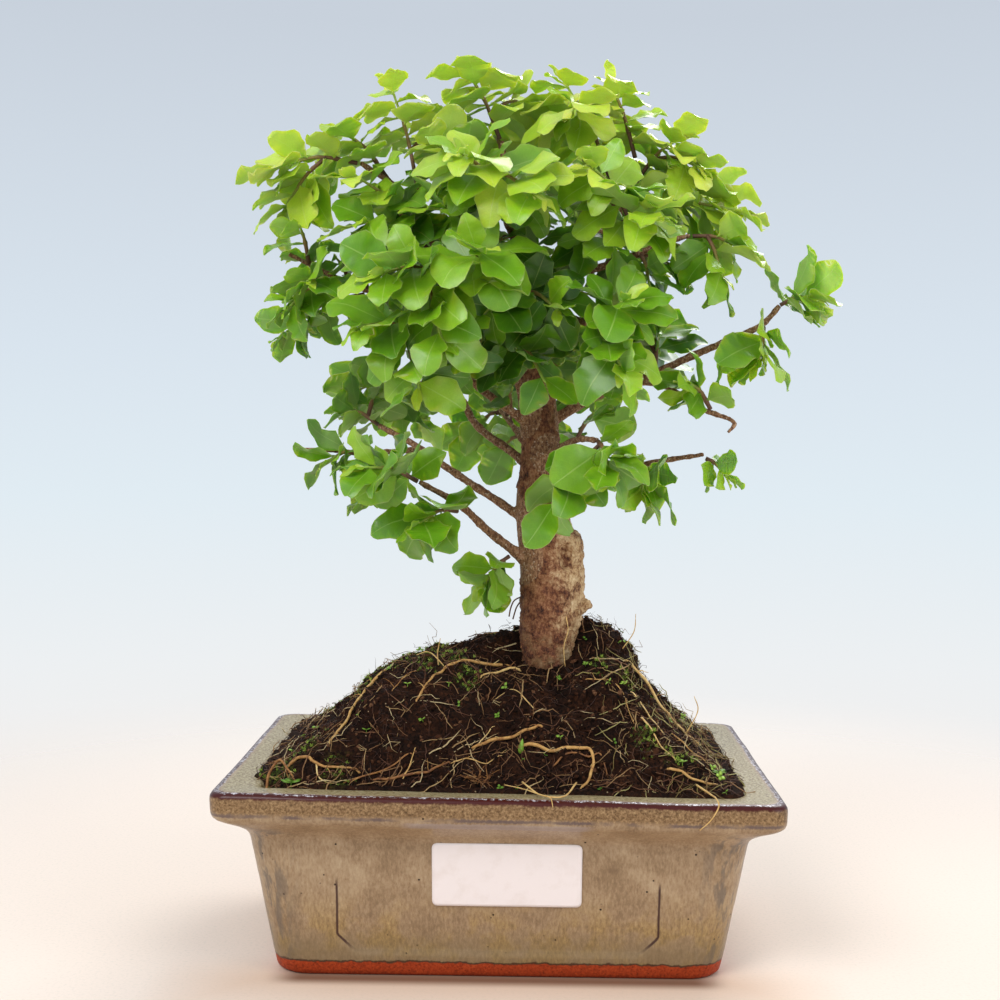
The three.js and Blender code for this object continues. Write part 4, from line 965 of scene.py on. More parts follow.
def ground_cover(settings, soil):
    """Crumbs, clods, moss, seedlings and dead fibres on the soil."""
    scatter = scatter_tree()
    drape = drape_tree()
    crumbs = kit("crumb_kit", [lump(k) for k in range(6)])
    mosses = kit("moss_kit", [tuft(k, 7, 0.35) for k in range(4)])
    weeds = kit("weed_kit", [seedling(k, 2 + k % 3) for k in range(5)])
    loam = shaded("loam_crumb", [
        (0.05, "060302"), (0.45, "140804"), (0.75, "26130a"), (0.95, "432616"), (1.0, "6b4a33"),
    ], 0.95, 0.6, 0.5, Specular_IOR_Level=0.15)
    green = shaded("moss_living", [(0.1, "2a3a0c"), (0.5, "5d7a1c"), (0.9, "9ab03e")], 0.8, 0.2, 0.4)
    bright = shaded("seedling_leaf", [(0.1, "4f7a18"), (0.6, "7ba32c"), (0.95, "a9c94c")], 0.5, 0.1, 1)
    straw = shaded("fibre_dead", [
        (0.02, "200e07"), (0.35, "3e1f11"), (0.62, "62391f"), (0.8, "875f38"), (0.92, "a58453"),
        (1.0, "ccb688"),
    ], 0.7, 0.3, 0.8)
    grass = shaded("fibre_grassy", [
        (0.03, "33210f"), (0.3, "5c451f"), (0.6, "857038"), (0.85, "a19352"), (0.98, "c6bb80"),
    ], 0.65, 0.3, 0.8)
    # Small pieces: how many to the square metre and where, least and greatest size, how upright, and seed.
    for name, slot, pieces, finish, density, where, small, large, upright, seed in (
        ("soil_crumbs", "soil", crumbs, loam, settings.crumbs / SOIL_AREA, "open", 0.0006, 0.0019, 0.0, 3),
        ("soil_clods", "soil", crumbs, loam, 15000.0, "open", 0.0014, 0.003, 0.0, 5),
        ("moss", "leaf", mosses, green, 700000.0, "moss", 0.0007, 0.0019, 0.4, 11),
        ("seedlings", "leaf", weeds, bright, 1700.0, "open", 0.0014, 0.0028, 0.5, 21),
    ):
        settle(grown(name, soil, scatter, Finish=finish, Pieces=pieces, Density=density, Where=where,
                     Seed=seed, Smallest=small, Largest=large, Upright=upright), slot)
    # Fibres: how many and where, lengths, radii, bend, how closely they cling, lift off the ground, seed.
    for name, slot, finish, density, where, *sizes, seed in (
        ("fibres_fine", "soil", straw, settings.fibres / SOIL_AREA, "open",
         0.004, 0.015, 6e-5, 1.6e-4, 0.0035, 0.7, 4e-4, 31),
        ("fibres_straw", "soil", straw, 4200.0, "open", 0.005, 0.016, 1.2e-4, 3e-4, 0.003, 0.66, 6e-4, 41),
        ("fibres_grass", "soil", grass, 60000.0, "grass", 0.006, 0.017, 7e-5, 2e-4, 0.004, 0.55, 7e-4, 51),
        ("fibres_rim", "soil", straw, 42000.0, "rim", 0.006, 0.017, 9e-5, 2.4e-4, 0.007, 0.45, 1.1e-3, 71),
        ("hairs_upright", "root_bark", straw, 14000.0, "open",
         0.006, 0.017, 7e-5, 1.4e-4, 0.02, 0.15, 1e-3, 61),
    ):
        settle(grown(name, soil, drape, Finish=finish, Density=density, Where=where, Seed=seed,
                     **dict(zip(FIBRE_SIZES, sizes))), slot)
    skin = Skin()
    ground = surface_of(soil)
    for k, (x, y, size, leaves) in enumerate(WEEDS):
        points, faces = seedling(k + 40, leaves)
        foot = ground.ray_cast(Vector((x, y, HIGH)), -UP)[0]
        skin.add([foot + Vector(p) * size for p in points], faces, shade=0.3 + 0.12 * k)
    foot = ground.ray_cast(Vector((*BUD_SPOT, HIGH)), -UP)[0]
    bud = [foot + Vector((0.16 * z, 0, z - 0.5)) for z in (0, 1.2, 2.6, 4, 5)]
    skin.tube(bud, [0.5, 0.95, 0.9, 0.5, 0.08], 8, shade=0.55)
    settle(skin.piece("weeds_front", [bright]), "leaf")


def length_of(points):
    """Length of a line through its points, without what follows x, y, z in each."""
    return sum((Vector(b[:3]) - Vector(a[:3])).length for a, b in zip(points, points[1:]))


def branch_line(points, root, end, seed):
    """Points and radii along a branch: a flared collar, then knots every 9 mm or so."""
    length = length_of(points)
    steps = max(8, round(length / 1.6))
    line = []
    radii = []
    for k in range(steps + 1):
        t = k / steps
        far = t * length
        spot = Vector(along(points, t))
        sway = Vector((noise.noise(spot * 0.07), noise.noise(spot * 0.07 + Vector((9, 0, 0))), 0))
        spot += sway * ease(0, 12, far)
        knot = math.exp(-(((far + 3 * seed) % 9 - 4.5) / 1.0) ** 2)
        line.append(spot)
        radii.append(lerp(root, end, t) * (0.88 + 0.2 * knot) + 0.9 * math.exp(-far / 2.5))
    return line, radii


def wood_piece():
    """Trunk, shoulder, snag and branches, grown together and then barked."""
    skin = Skin()
    samples = []
    line, girths = sampled(TRUNK, 90)
    skin.tube(line, girths, 28)
    samples += zip(line, girths)
    for points, sides, swell in ((SHOULDER, 22, 0), (SNAG, 12, 0.15)):
        line, girths = sampled(points, 16)
        skin.tube(line, [girth * (1 + swell * math.sin(k)) for k, girth in enumerate(girths)], sides)
        samples += [(p, 8) for p in line]
    for seed, (root, end, points) in enumerate(BRANCHES.values()):
        line, radii = branch_line(points, root, end, seed)
        skin.tube(line, radii, 9)
        samples += [(p, min(r, 3.5)) for p, r in zip(line[2:], radii[2:])]
    wood = skin.piece("wood_barked", [privet_bark()])
    modifier = wood.modifiers.new("grown", "REMESH")
    modifier.mode = "VOXEL"
    modifier.voxel_size = 0.00056
    modifier = wood.modifiers.new("eased", "SMOOTH")
    modifier.factor = 0.5
    modifier.iterations = 2
    evaluated(wood)
    mesh = wood.data
    tree = KDTree(len(samples))
    for k, (point, _) in enumerate(samples):
        tree.insert(point, k)
    tree.balance()
    girth = []
    barked = []
    # The normals are read before any point moves.
    normals = [vertex.normal.copy() for vertex in mesh.vertices]
    for vertex, normal in zip(mesh.vertices, normals):
        spot = vertex.co * 1000 - SHIFT
        radius = samples[tree.find(spot)[1]][1]
        girth.append(radius)
        thick = ease(2.5, 8, radius)
        rough = (0.14 + 0.7 * thick) * noise.fractal(spot / (1.3 + 1.9 * thick), 0.8, 2.1, 5)
        rings = noise.noise(Vector((spot.x * 0.2, spot.y * 0.2, spot.z * 0.95)))
        rough += thick * 0.9 * abs(rings) * ease(165, 105, spot.z)
        knot = (spot - Vector(KNOT)).length
        rough += 0.55 * math.exp(-((knot - 2.2) / 0.55) ** 2) - 0.5 * math.exp(-(knot / 1.1) ** 2)
        scar = Vector([(a - b) / r for a, b, r in zip(spot, SCAR_CENTRE, SCAR_RADII)]).length
        if scar < 1:
            rough -= 2.6 * (1 - scar ** 2) ** 0.5
        rough += 0.5 * math.exp(-((scar - 1.15) / 0.18) ** 2) * (scar < 1.6)
        barked.extend((spot + normal * rough + SHIFT) / 1000)
    mesh.vertices.foreach_set("co", barked)
    mesh.attributes.new("girth", "FLOAT", "POINT").data.foreach_set("value", np.array(girth, np.float32))
    mesh.polygons.foreach_set("use_smooth", [True] * len(mesh.polygons))
    mesh.update()
    settle(wood, "bark", "wood")


def privet_bark():
    """Young privet bark: thin, grey-beige and smooth between dark cracks, rusty where it has flaked, and on
    the twigs dotted with pale pores about 1 mm wide. Low on the trunk the right side is painted paler as
    painted light, and the left keeps the darker rusty colours as painted shade."""
    material, add, place = surface("privet_bark", 0.82)
    thick = add(EASED, add("Attribute:girth", out="Fac"), 3, 7)
    across = add("SeparateXYZ", place)
    height = add("SeparateXYZ", place, out=2)
    patches = add("TexNoise", place, None, 1 / 5, 5, 0.65)
    grain = add("TexNoise", add("VectorMath:MULTIPLY", place, (1, 1, 0.55)), None, 1 / 0.8, 5, 0.7)
    fine = add("TexNoise", add("VectorMath:MULTIPLY", place, (0.45, 0.45, 1.3)), None, 1 / 0.7, 4, 0.65)
    specks = add("TexNoise", place, None, 1 / 0.9, 2, 0.5)
    blend = add("Math:MULTIPLY_ADD", patches, 0.5, add("Math:MULTIPLY", grain, 0.5))
    pale = add("ValToRGB", blend, stops=[
        (0.36, "382015"), (0.43, "7d5436"), (0.49, "aa8459"), (0.55, "c9a87d"), (0.66, "e0c9a2"),
    ])
    rusty = add("ValToRGB", blend, stops=[
        (0.36, "230f08"), (0.44, "5a2f1a"), (0.5, "7f4d2f"), (0.57, "9a6b47"), (0.68, "b38b66"),
    ])
    twig = add("ValToRGB", grain, stops=[
        (0.32, "4a2c1c"), (0.46, "7c5338"), (0.56, "9f7553"), (0.7, "bb9673"),
    ])
    # Painted light: this mask paints the trunk's right side pale, so that its left side keeps the darker
    # rusty ramp as painted shade.
    right = add(EASED, add("Math:MULTIPLY_ADD", patches, 34, across), 24, 34)
    lower = add(EASED, add("Math:MULTIPLY_ADD", patches, 20, height), 190, 150)
    colour = layered(
        add, layered(add, twig, ("bfa58a", 1, add(EASED, specks, 0.6, 0.68))),
        # Twigs are red-brown with pale specks. The trunk is painted paler low on its right side, as painted
        # light, and stays darker and rustier on its left as painted shade.
        (layered(add, rusty, (pale, 1, right, lower)), 1, thick),
        # The foot is stained green-yellow by algae and darkened by wet soil, with rusty pores.
        ("4c3c1a", 0.5, add(EASED, height, 118, 100), add(EASED, patches, 0.42, 0.58)),
        ("c4834e", 0.9, add(EASED, fine, 0.62, 0.68), thick, add(EASED, height, 125, 105)),
        ("3a2418", 0.75, add(EASED, fine, 0.36, 0.3), thick),
    )
    return dress(material, colour, add("Math:MULTIPLY_ADD", grain, 0.5, fine), 0.7, 0.0006)


# Roots on the soil: radius, then x, y and how high the root's middle stands over the soil. The named ones
# stand for their CAD nodes.
ROOTS = {
    "root_left_upper": (0.8, [
        (3, -5, 0), (-7, -9, 0.2), (-14, -13, 0), (-21, -19, 0), (-26, -26, 0.3), (-30, -33, -0.3),
    ]),
    "root_left_short": (0.7, [(7, -9, 0), (0, -12, 0.3), (-8, -20, 0)]),
    "root_left_slope": (0.8, [
        (-40, -6, 0), (-46, -12, 0.4), (-51, -24, 0.2), (-55, -36, 0.3), (-58, -45, 0),
    ]),
    "root_left_corner": (0.8, [
        (-72, -46, 0), (-68, -45, 0.6), (-63, -49, 0.3), (-58, -50, 0.4), (-46, -51, 0),
    ]),
    "root_front": (0.8, [(-9, -44, 0.4), (4, -39, 0.4), (12, -37, 0.5), (15, -38, 0)]),
    "root_front_loop": (0.9, [
        (7, -43, 0.2), (11, -42, 0.7), (17, -43, 0.4), (24, -44, 0.5), (30, -44, 0.7), (32, -47, 0.6),
        (31, -50, 0.3), (27, -53, -0.1),
    ]),
    "root_right_arch": (0.7, [
        (44, -12, 0), (50, -12, 3), (56, -12, 5), (62, -12, 4), (68, -12, 2), (73, -12, 0),
    ]),
    "root_right_corner": (0.7, [(57, -48, 0.2), (63, -50, 0.4), (69, -51, 0.3), (74, -51, 0)]),
}
THIN_ROOTS = [
    (0.75, [(-42, -53, 0.4), (-30, -52, 0.6), (-22, -50, 0.5), (-16, -48, 0.2)]),
    (0.5, [(-52, -53, 0.2), (-43, -52, 0.5), (-36, -49, 0.5), (-29, -46, 0.1)]),
    (0.5, [(18, -47, 0.2), (23, -45, 0.4), (30, -46, 0.3), (34, -45, 0.5), (37, -48, 0)]),
    (0.45, [(49, -31, 0.1), (52, -36, 0.5), (56, -41, 0.4), (60, -45, 0)]),
    (0.7, [(-78, -51, 0), (-78, -49, 5), (-75, -48, 7), (-72, -50, 4), (-69, -52, 0)]),
    (0.35, [(-79, -50, 0), (-79, -47, 4), (-76, -46, 5.5), (-73, -47, 3), (-71, -50, 0)]),
    (0.35, [(-16, -48, 0.3), (-7, -46, 0.5), (1, -45, 0.3)]),
    (0.3, [(-9, -44, 0.6), (-5, -41, 1.5), (-2, -38, 0.5)]),
    (0.35, [(-32, -53, 0.5), (-30, -49, 0.5), (-28, -44, 0.2)]),
    (0.4, [(-62, -49, 0.3), (-60, -53, 0.3), (-54, -54, 0.2)]),
    (0.3, [(12, -30, 0), (6, -26, 0.4), (-3, -27, 0.2)]),
    (0.3, [(30, -20, 0.3), (37, -22, 0.5), (44, -27, 0.3), (47, -33, 0)]),
    (0.4, [(46, -22, 0.5), (52, -27, 0.6), (57, -34, 0.3)]),
    (0.35, [(60, -30, 0.4), (66, -35, 0.5), (72, -42, 0.2)]),
    (0.3, [(-30, -15, 0.4), (-35, -22, 0.3), (-38, -30, 0.1)]),
    (0.35, [(20, 30, 0.2), (12, 40, 0.5), (2, 47, 0.3)]),
    (0.6, [(30, 14, 0.2), (42, 22, 0.4), (52, 33, 0.4), (58, 44, 0)]),
    (0.6, [(2, 14, 0.3), (-12, 22, 0.5), (-26, 33, 0.4), (-35, 45, 0)]),
    (0.5, [(-48, 20, 0.4), (-60, 30, 0.4), (-68, 42, 0.1)]),
]
# Rootlets that hang over the rim, stand up from the soil or lie on the stem's foot: radius, then x, y, z.
RIM_ROOTS = [
    (0.2, [(23.2, -9.5, 118), (24, -10.6, 113), (22.6, -11, 107.5), (22.8, -11.2, 102), (23.5, -11.5, 97)]),
    (0.26, [(-23, -10, 99), (-23.4, -10, 104), (-22.4, -10.5, 109.5)]),
    (0.24, [(-19, -14, 98), (-26, -12, 104.5), (-31, -12, 103.6)]),
    (0.24, [(44, -8, 106), (48, -9, 112.5), (48.6, -9, 119)]),
    (0.28, [(66, -22, 78), (70, -22, 86), (68.6, -23, 91.5)]),
    (0.35, [
        (66, -55, 67.5), (70, -62, 66), (71, -68.5, 66.2), (71.4, -71, 64.2), (69, -71.2, 60),
        (65.5, -70.8, 56.5),
    ]),
    (0.3, [(8, -56, 68), (13, -64, 66.2), (17, -69.5, 66.3), (18, -71.2, 63.5)]),
    (0.3, [(26, -56, 68), (22, -66, 66), (16, -67, 66), (9, -60, 66.5), (2, -56, 67)]),
]
# Two dark hooks that hang from a bud low on the stem.
HOOKS = [
    [(7.5, 0, 124), (4.4, 0, 122.5), (3, 0, 119.6), (2.4, 0, 116.4)],
    [(7.2, 0, 123), (5.2, 0, 120), (4.4, 0, 117.6), (3.8, 0.4, 115.4)],
]
ROOT_BALL = (-7, -53, 66.5)


def root_lines(ground, radius, route, seed):
    """A root's middle line over the ground, with its own small wanderings, and its radii."""
    steps = max(8, round(length_of(route) / 1.1))
    line = []
    radii = []
    for k in range(steps + 1):
        t = k / steps
        x, y, arch = along(route, t)
        x += 0.7 * noise.noise(Vector((x * 0.3, y * 0.3, seed)))
        y += 0.7 * noise.noise(Vector((x * 0.3, y * 0.3, seed + 9)))
        hit = ground.ray_cast(Vector((x, y, HIGH)), -UP)[0]
        z = (hit.z if hit else SOIL_EDGE) + arch + 0.55 * radius
        line.append(Vector((x, y, z)))
        ends = ease(0, 0.1, t) * 0.35 + 0.65
        radii.append(radius * ends * lerp(1, 0.62, t) * (1 + 0.18 * noise.noise(Vector((k * 0.8, seed, 0)))))
    heights = np.array([p.z for p in line])
    for _ in range(4):
        heights[1:-1] = 0.25 * heights[:-2] + 0.5 * heights[1:-1] + 0.25 * heights[2:]
    for point, z in zip(line, heights):
        point.z = z
    line[0].z -= 0.8 * radius
    line[-1].z -= 1.6 * radius
    return line, radii


def root_pieces(soil):
    """Bare roots over the soil, with the finer ones beside them and the rootlets over the rim."""
    bark = root_skin()
    ground = surface_of(soil)
    for seed, (name, (radius, route)) in enumerate(ROOTS.items()):
        skin = Skin()
        line, radii = root_lines(ground, radius, route, seed)
        skin.tube(line, [0.8 * r for r in radii], 8, wobble=0.16, shade=0.35 + 0.5 * chance(seed, 4))
        for k in range(5, len(line) - 3, 6):
            add_hair(skin, line[k], seed * 31 + k, 3.5, 0.22)
        settle(skin.piece(name + "_bare", [bark]), "root_bark", name)
    skin = Skin()
    for seed, (radius, route) in enumerate(THIN_ROOTS):
        line, radii = root_lines(ground, radius, route, seed + 40)
        skin.tube(line, [0.75 * r for r in radii], 6, wobble=0.1, shade=chance(seed, 5))
        for k in range(4, len(line) - 2, 5):
            add_hair(skin, line[k], seed * 17 + k + 400, 4, 0.14)
    for radius, route in RIM_ROOTS:
        radii = [radius * lerp(1, 0.5, k / 22) for k in range(23)]
        skin.tube(sampled(route, 22)[0], radii, 6, wobble=0.08, shade=0.75)
    for route in HOOKS:
        skin.tube(sampled(route, 9)[0], [0.28] * 10, 5, shade=0)
    # A ball of short reddish rootlets by the front edge.
    for seed in range(46):
        away = (10 * (chance(seed, 1) - 0.5), 2.5 * chance(seed, 2), 2.5 * chance(seed, 3))
        add_hair(skin, [a + b for a, b in zip(ROOT_BALL, away)], seed + 900, 5, 0.17, 0.12)
    settle(skin.piece("roots_thin", [bark]), "root_bark")


def add_hair(skin, start, seed, length, radius, shade=None):
    """A short crooked rootlet from a point."""
    way = Vector((chance(seed, 1) - 0.5, chance(seed, 2) - 0.6, 0.7 * chance(seed, 3) - 0.25)).normalized()
    spot = Vector(start)
    line = [spot.copy()]
    for k in range(6):
        bend = Vector((chance(seed, k + 4) - 0.5, chance(seed, k + 14) - 0.5, chance(seed, k + 24) - 0.6))
        way = (way + 0.7 * bend).normalized()
        spot += way * length / 6 * (0.6 + 0.8 * chance(seed, 50))
        line.append(spot.copy())
    shade = chance(seed, 40) if shade is None else shade
    skin.tube(line, [radius * lerp(1, 0.35, k / 6) for k in range(7)], 4, shade=shade)


def root_skin():
    """Privet root, washed out of its soil: thin tan cork over orange, paler on some roots than on others."""
    material, add, place = surface("privet_root_cork", 0.68)
    grain = add("TexNoise", place, None, 1 / 1.6, 5, 0.65)
    own = add("Math:MULTIPLY", add("Attribute:shade", out="Fac"), 0.45)
    colour = add("ValToRGB", add("Math:MULTIPLY_ADD", grain, 0.6, own), stops=[
        (0.25, "5c3216"), (0.4, "96622f"), (0.55, "c19250"), (0.7, "d9b572"), (0.85, "e8d096"),
    ])
    return dress(material, colour, grain, 0.5, 0.0004)


def shoot_line(root, start, tip):
    """The line of a shoot that starts off its branch and rises a little on its way to its tip."""
    length = (tip - root).length
    begin = root.lerp(tip, start / length)
    return [begin, begin.lerp(tip, 0.5) + UP * 0.1 * length, tip]


def shoot_nodes(line, pairs):
    """Where the CAD's pairs of leaves stand on a shoot, how each is turned, and half a node's length."""
    length = (line[0] - line[2]).length
    spacing = 0.9 / pairs
    half = min(2.2 / length, 0.7 * spacing) / 2
    return [(0.1 + spacing * pair - half, 0.5 if pair % 2 else -0.5) for pair in range(1, pairs + 1)], half


def stem_corner(line, t, turn):
    """One corner of the CAD's four-sided stem."""
    _, across, above = frame_at(line, t)
    angle = turn - 0.25 * math.pi
    r = lerp(1, 0.8, t)
    return Vector(along(line, t)) + across * r * math.cos(angle) + above * r * math.sin(angle)


def pose_leaf(line, t, turn, hand, size, number, attempt, lift=0.8, outward=0.6, broad=0.62):
    """How a leaf sits on its shoot, by the CAD's own rule; each attempt turns and bends it another way."""
    def draw(k):
        return chance(number, k + 10 * attempt)
    forward, across, above = frame_at(line, t)
    turn = turn + hand * math.pi + 0.9 * (draw(1) - 0.5)
    spread = (0.75 if t > 0.9 else 1.05) + 0.5 * (draw(2) - 0.5)
    out = across * math.cos(turn) + above * math.sin(turn)
    way = forward * math.cos(spread) + out * math.sin(spread)
    way.z = 0.6 * way.z - 0.4 * draw(3)
    way.normalize()
    base = Vector(along(line, t))
    face = UP * lift + (base - CROWN_CENTRE).normalized() * outward
    face += Vector((draw(4) - 0.5, draw(5) - 0.5, 0)) * 0.7
    length = size * (0.86 + 0.28 * draw(6)) * 0.95 ** attempt
    return {
        "base": base, "way": way, "normal": (face - way * face.dot(way)).normalized(), "length": length,
        "width": length * broad * (0.9 + 0.2 * draw(7)), "curl": 0.02 + 0.2 * draw(8),
        "cup": 0.25 * (draw(9) - 0.3), "phase": 6.28 * draw(6.5), "number": number, "out": out,
    }


def leaf_tip(leaf):
    """Where the CAD's leaf ends."""
    return leaf["base"] + leaf["way"] * leaf["length"] - leaf["normal"] * leaf["curl"] * leaf["length"]


def leaf_marks(leaf):
    """Four spots down the blade, to keep leaves off each other."""
    length = leaf["length"]
    return [
        leaf["base"] + leaf["way"] * length * s - leaf["normal"] * leaf["curl"] * length * s * s
        for s in (0.35, 0.6, 0.82, 1)
    ]


def tone_of(leaf, tip_share):
    """How young a leaf is and how much painted light it gets, from 0 inside the crown, as painted shade, to 1
    at its tips; leaves high up, on the outside and on the right are painted lighter.
    """
    middle = leaf["base"] + leaf["way"] * leaf["length"] * 0.5 - CROWN_CENTRE
    out = Vector([v / radius for v, radius in zip(middle, CROWN_RADII)]).length
    # Painted light: leaves high in the crown and on its right are made lighter, and those deep inside darker
    # as painted shade.
    high = ease(225, 305, leaf["base"].z)
    right = ease(20, 90, leaf["base"].x)
    value = 0.02 + 0.36 * ease(0.4, 1.0, out) + 0.43 * high + 0.1 * right + 0.16 * tip_share
    return value + 0.32 * (chance(leaf["number"], 77) - 0.5)


def add_leaf(skin, leaf, tone):
    """A blade with waved edges, folded a little along its rib, on a short stalk."""
    way, normal, length = leaf["way"], leaf["normal"], leaf["length"]
    side = normal.cross(way).normalized()
    number = leaf["number"]
    half = 0.5 * leaf["width"]
    fullness = 0.9 + 0.2 * chance(number, 88)
    waves = 11 + 6 * chance(number, 89)
    droop = 1.1 * chance(number, 90)
    oval = chance(number, 92)
    roll = 0.3 * (chance(number, 93) - 0.5)
    points = []
    for s, obovate, elliptic in zip(LEAF_STATIONS, LEAF_SHARES, LEAF_SHARES_OVAL):
        blade = ease(0.05, 0.22, s)
        share = lerp(obovate, elliptic, oval) ** fullness
        sink = leaf["curl"] * s * s + droop * max(s - 0.6, 0) ** 2
        middle = leaf["base"] + way * length * s - normal * length * sink
        spots = []
        for u in (1, 0.5, 0, -0.5, -1):
            hand = 0 if u > 0 else 1
            w = half * share
            ripple = 0.05 * length * s * math.sin(9 * s + leaf["phase"] + 0.6 * hand)
            wave = math.sin(waves * s + 1.7 * hand + 2 * leaf["phase"])
            ripple += 0.045 * length * wave * ease(0.12, 0.4, s)
            ripple += leaf["cup"] * w + roll * w * s * u
            wave = math.sin(waves * s + leaf["phase"] + 1.9 * hand)
            edge = w * (1 + 0.085 * wave * ease(0.15, 0.4, s) * abs(u))
            # A raised half is straight from rib to edge and a lowered one is arched, so no faces cross.
            bend = abs(u) if ripple > 0 else u * u
            lift = ripple * bend - blade * 0.05 * half * (1 - abs(u))
            spots.append(middle + side * edge * u + normal * lift)
        points += spots + [spots[2] - normal * lerp(0.6, 0.34, blade)]
    # Each quad is split along its upper diagonal on top and its lower one below, so the sides never cross.
    faces = []
    last = len(points) - 6
    for near in range(0, last, 6):
        for outer, inner, turned in LEAF_STRIPS:
            loop = (near + outer, near + 6 + outer, near + 6 + inner, near + inner)[::turned]
            ridge = (points[loop[0]] + points[loop[2]]).dot(normal)
            if (ridge < (points[loop[1]] + points[loop[3]]).dot(normal)) == (inner != 5):
                loop = loop[1:] + loop[:1]
            faces.append(loop)
    points.append(leaf["base"] + way * length - normal * length * (leaf["curl"] + 0.16 * droop))
    faces += [(last + (c + 1) % 6, last + 6, last + c) for c in reversed(range(6))]
    faces.append(tuple(range(6)))
    count = len(LEAF_STATIONS)
    skin.add(points, faces, 0, tone=tone, across=[0, 0.25, 0.5, 0.75, 1, 0.5] * count + [0.5],
             down=[s for s in LEAF_STATIONS for _ in range(6)] + [1],
             under=[0, 0, 0, 0, 0, 1] * count + [0.5], shade=chance(number, 91))


def wood_marks():
    """Points along the trunk and branches, for leaves to keep off, each with its radius."""
    marks = []
    for points, steps in ((TRUNK, 60), (SHOULDER, 8)):
        marks += zip(*sampled(points, steps))
    for root, end, points in BRANCHES.values():
        steps = max(6, round(length_of(points) / 3))
        marks += [(Vector(along(points, k / steps)), lerp(root, end, k / steps)) for k in range(1, steps + 1)]
    return marks


class Crown:
    """Keeps the marks of all leaves so far, so that further leaves find free places."""

    def __init__(self):
        marks = wood_marks()
        self.wood = np.array([tuple(p) for p, _ in marks])
        self.girth = np.array([r for _, r in marks])
        self.marks = []
        low, high = (np.array(corner) * 1000 - np.array(SHIFT) for corner in CAD_BOUNDS)
        self.low = low - 2.5
        self.high = high + 2.5

    def room(self, leaf):
        """The least distance from a leaf to the others, or below 0 where it meets wood or leaves the box."""
        marks = np.array([tuple(p) for p in leaf_marks(leaf)])
        if (marks < self.low).any() or (marks > self.high).any():
            return -1
        # The trunk shows at the front.
        if (abs(marks[:, 0] - 15) < 13).any() and (marks[:, 1] < -6).any() and 118 < marks[:, 2].mean() < 212:
            return -1
        gaps = np.linalg.norm(marks[:, None] - self.wood[None], axis=2) - self.girth[None]
        if gaps.min() < 1.2:
            return -1
        if not self.marks:
            return 9
        others = np.array(self.marks)
        return float(np.linalg.norm(marks[:, None] - others[None], axis=2).min())

    def keep(self, leaf):
        self.marks += [tuple(p) for p in leaf_marks(leaf)]

    def place(self, line, t, turn, hand, size, number, least):
        """Sets a leaf in the way that leaves it most room, of a few, or not at all."""
        best = None
        for attempt in range(7):
            leaf = pose_leaf(line, t, turn, hand, size, number, attempt, 0.45, 0.95, 0.7)
            free = self.room(leaf)
            if free > least and (best is None or free > best[0]):
                best = (free, leaf)
        if best is None:
            return None
        self.keep(best[1])
        return best[1]


def cad_points(name):
    """The corner points of a CAD node, in millimetres from the pot's middle, for quick search."""
    points = {tuple(round(v, 9) for v in vertex.co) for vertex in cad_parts[name].data.vertices}
    tree = KDTree(len(points))
    for k, point in enumerate(points):
        tree.insert(Vector(point) * 1000 - SHIFT, k)
    tree.balance()
    return tree


def found(tree, point):
    """Whether a CAD node has a corner point right at a point."""
    return tree.find(point)[2] < 0.03


def stems_of(row, tree):
    """The main shoot of a spray and its forks, where its CAD node has them, with their pairs of leaves."""
    branch, t, tip, pairs, _, forks = row
    root = Vector(along(BRANCHES[branch][2], t))
    for step in range(36):
        line = shoot_line(root, 0.4 + 0.25 * step, Vector(tip))
        if found(tree, stem_corner(line, 0, 0.5)):
            break
    else:
        raise RuntimeError(branch + ": the shoot isn't where its CAD node is")
    stems = [(line, pairs)]
    for share, end, count in forks:
        fork = shoot_line(Vector(along(line, share)), 0, Vector(end))
        nodes, half = shoot_nodes(fork, count)
        if found(tree, stem_corner(fork, nodes[-1][0] + half, nodes[-1][1])):
            stems.append((fork, count))
    return stems


def spray_leaves(k, row, crown):
    """A spray's name, its shoots with the leaves that its CAD node has, and how many leaves those are."""
    name = f"spray_{k + 1:02d}_{row[0]}"
    tree = cad_points(name)
    size = row[4]
    shoots = []
    kept = 0
    for line, pairs in stems_of(row, tree):
        leaves = []
        nodes, _ = shoot_nodes(line, pairs)
        for n, (t, turn) in enumerate(nodes):
            length = size * (0.8 + 0.3 * math.sin(math.pi * (n + 0.7) / len(nodes)))
            for hand in (0, 1):
                number = 100 * k + 40 * len(shoots) + 2 * n + hand
                for attempt in range(14):
                    leaf = pose_leaf(line, t, turn, hand, length, number, attempt)
                    if found(tree, leaf_tip(leaf)):
                        leaf["length"] *= 1.07
                        leaf["width"] *= 1.2
                        crown.keep(leaf)
                        leaves.append((leaf, t))
                        kept += 1
                        break
        shoots.append((line, nodes, leaves))
    return name, shoots, kept


def fill_spray(settings, k, row, shoots, crown):
    """Adds leaves between the CAD's pairs, and a pair of young ones at each tip."""
    size = row[4]
    for f, (line, nodes, leaves) in enumerate(shoots):
        stops = [0.05] + [t for t, _ in nodes]
        number = 6000 + 200 * k + 60 * f
        for n, (before, after) in enumerate(zip(stops, stops[1:])):
            t = lerp(before, after, 0.5)
            for hand in (0, 1):
                leaf = crown.place(line, t, 2.1 if n % 2 else 1.0, hand, size * 1.08, number + 4 * n + hand,
                                   settings.leaf_room * 1000)
                if leaf:
                    leaves.append((leaf, t * 0.8))
        for hand in (0, 1):
            leaf = pose_leaf(line, 1, 0.5, hand, size * 0.5, number + 50 + 2 * hand, 0)
            leaf["way"] = (leaf["way"] + heading(line, 1) * 0.7).normalized()
            leaf["normal"] = (leaf["normal"] - leaf["way"] * leaf["normal"].dot(leaf["way"])).normalized()
            leaf["width"] *= 0.75
            if crown.room(leaf) > -1:
                crown.keep(leaf)
                leaves.append((leaf, YOUNG))


# Branches that the eye can follow, with no leaves between their sprays.
BARE_BRANCHES = ("lower_left", "left", "left_bare", "left_back", "right_hook", "low_right", "far_right")


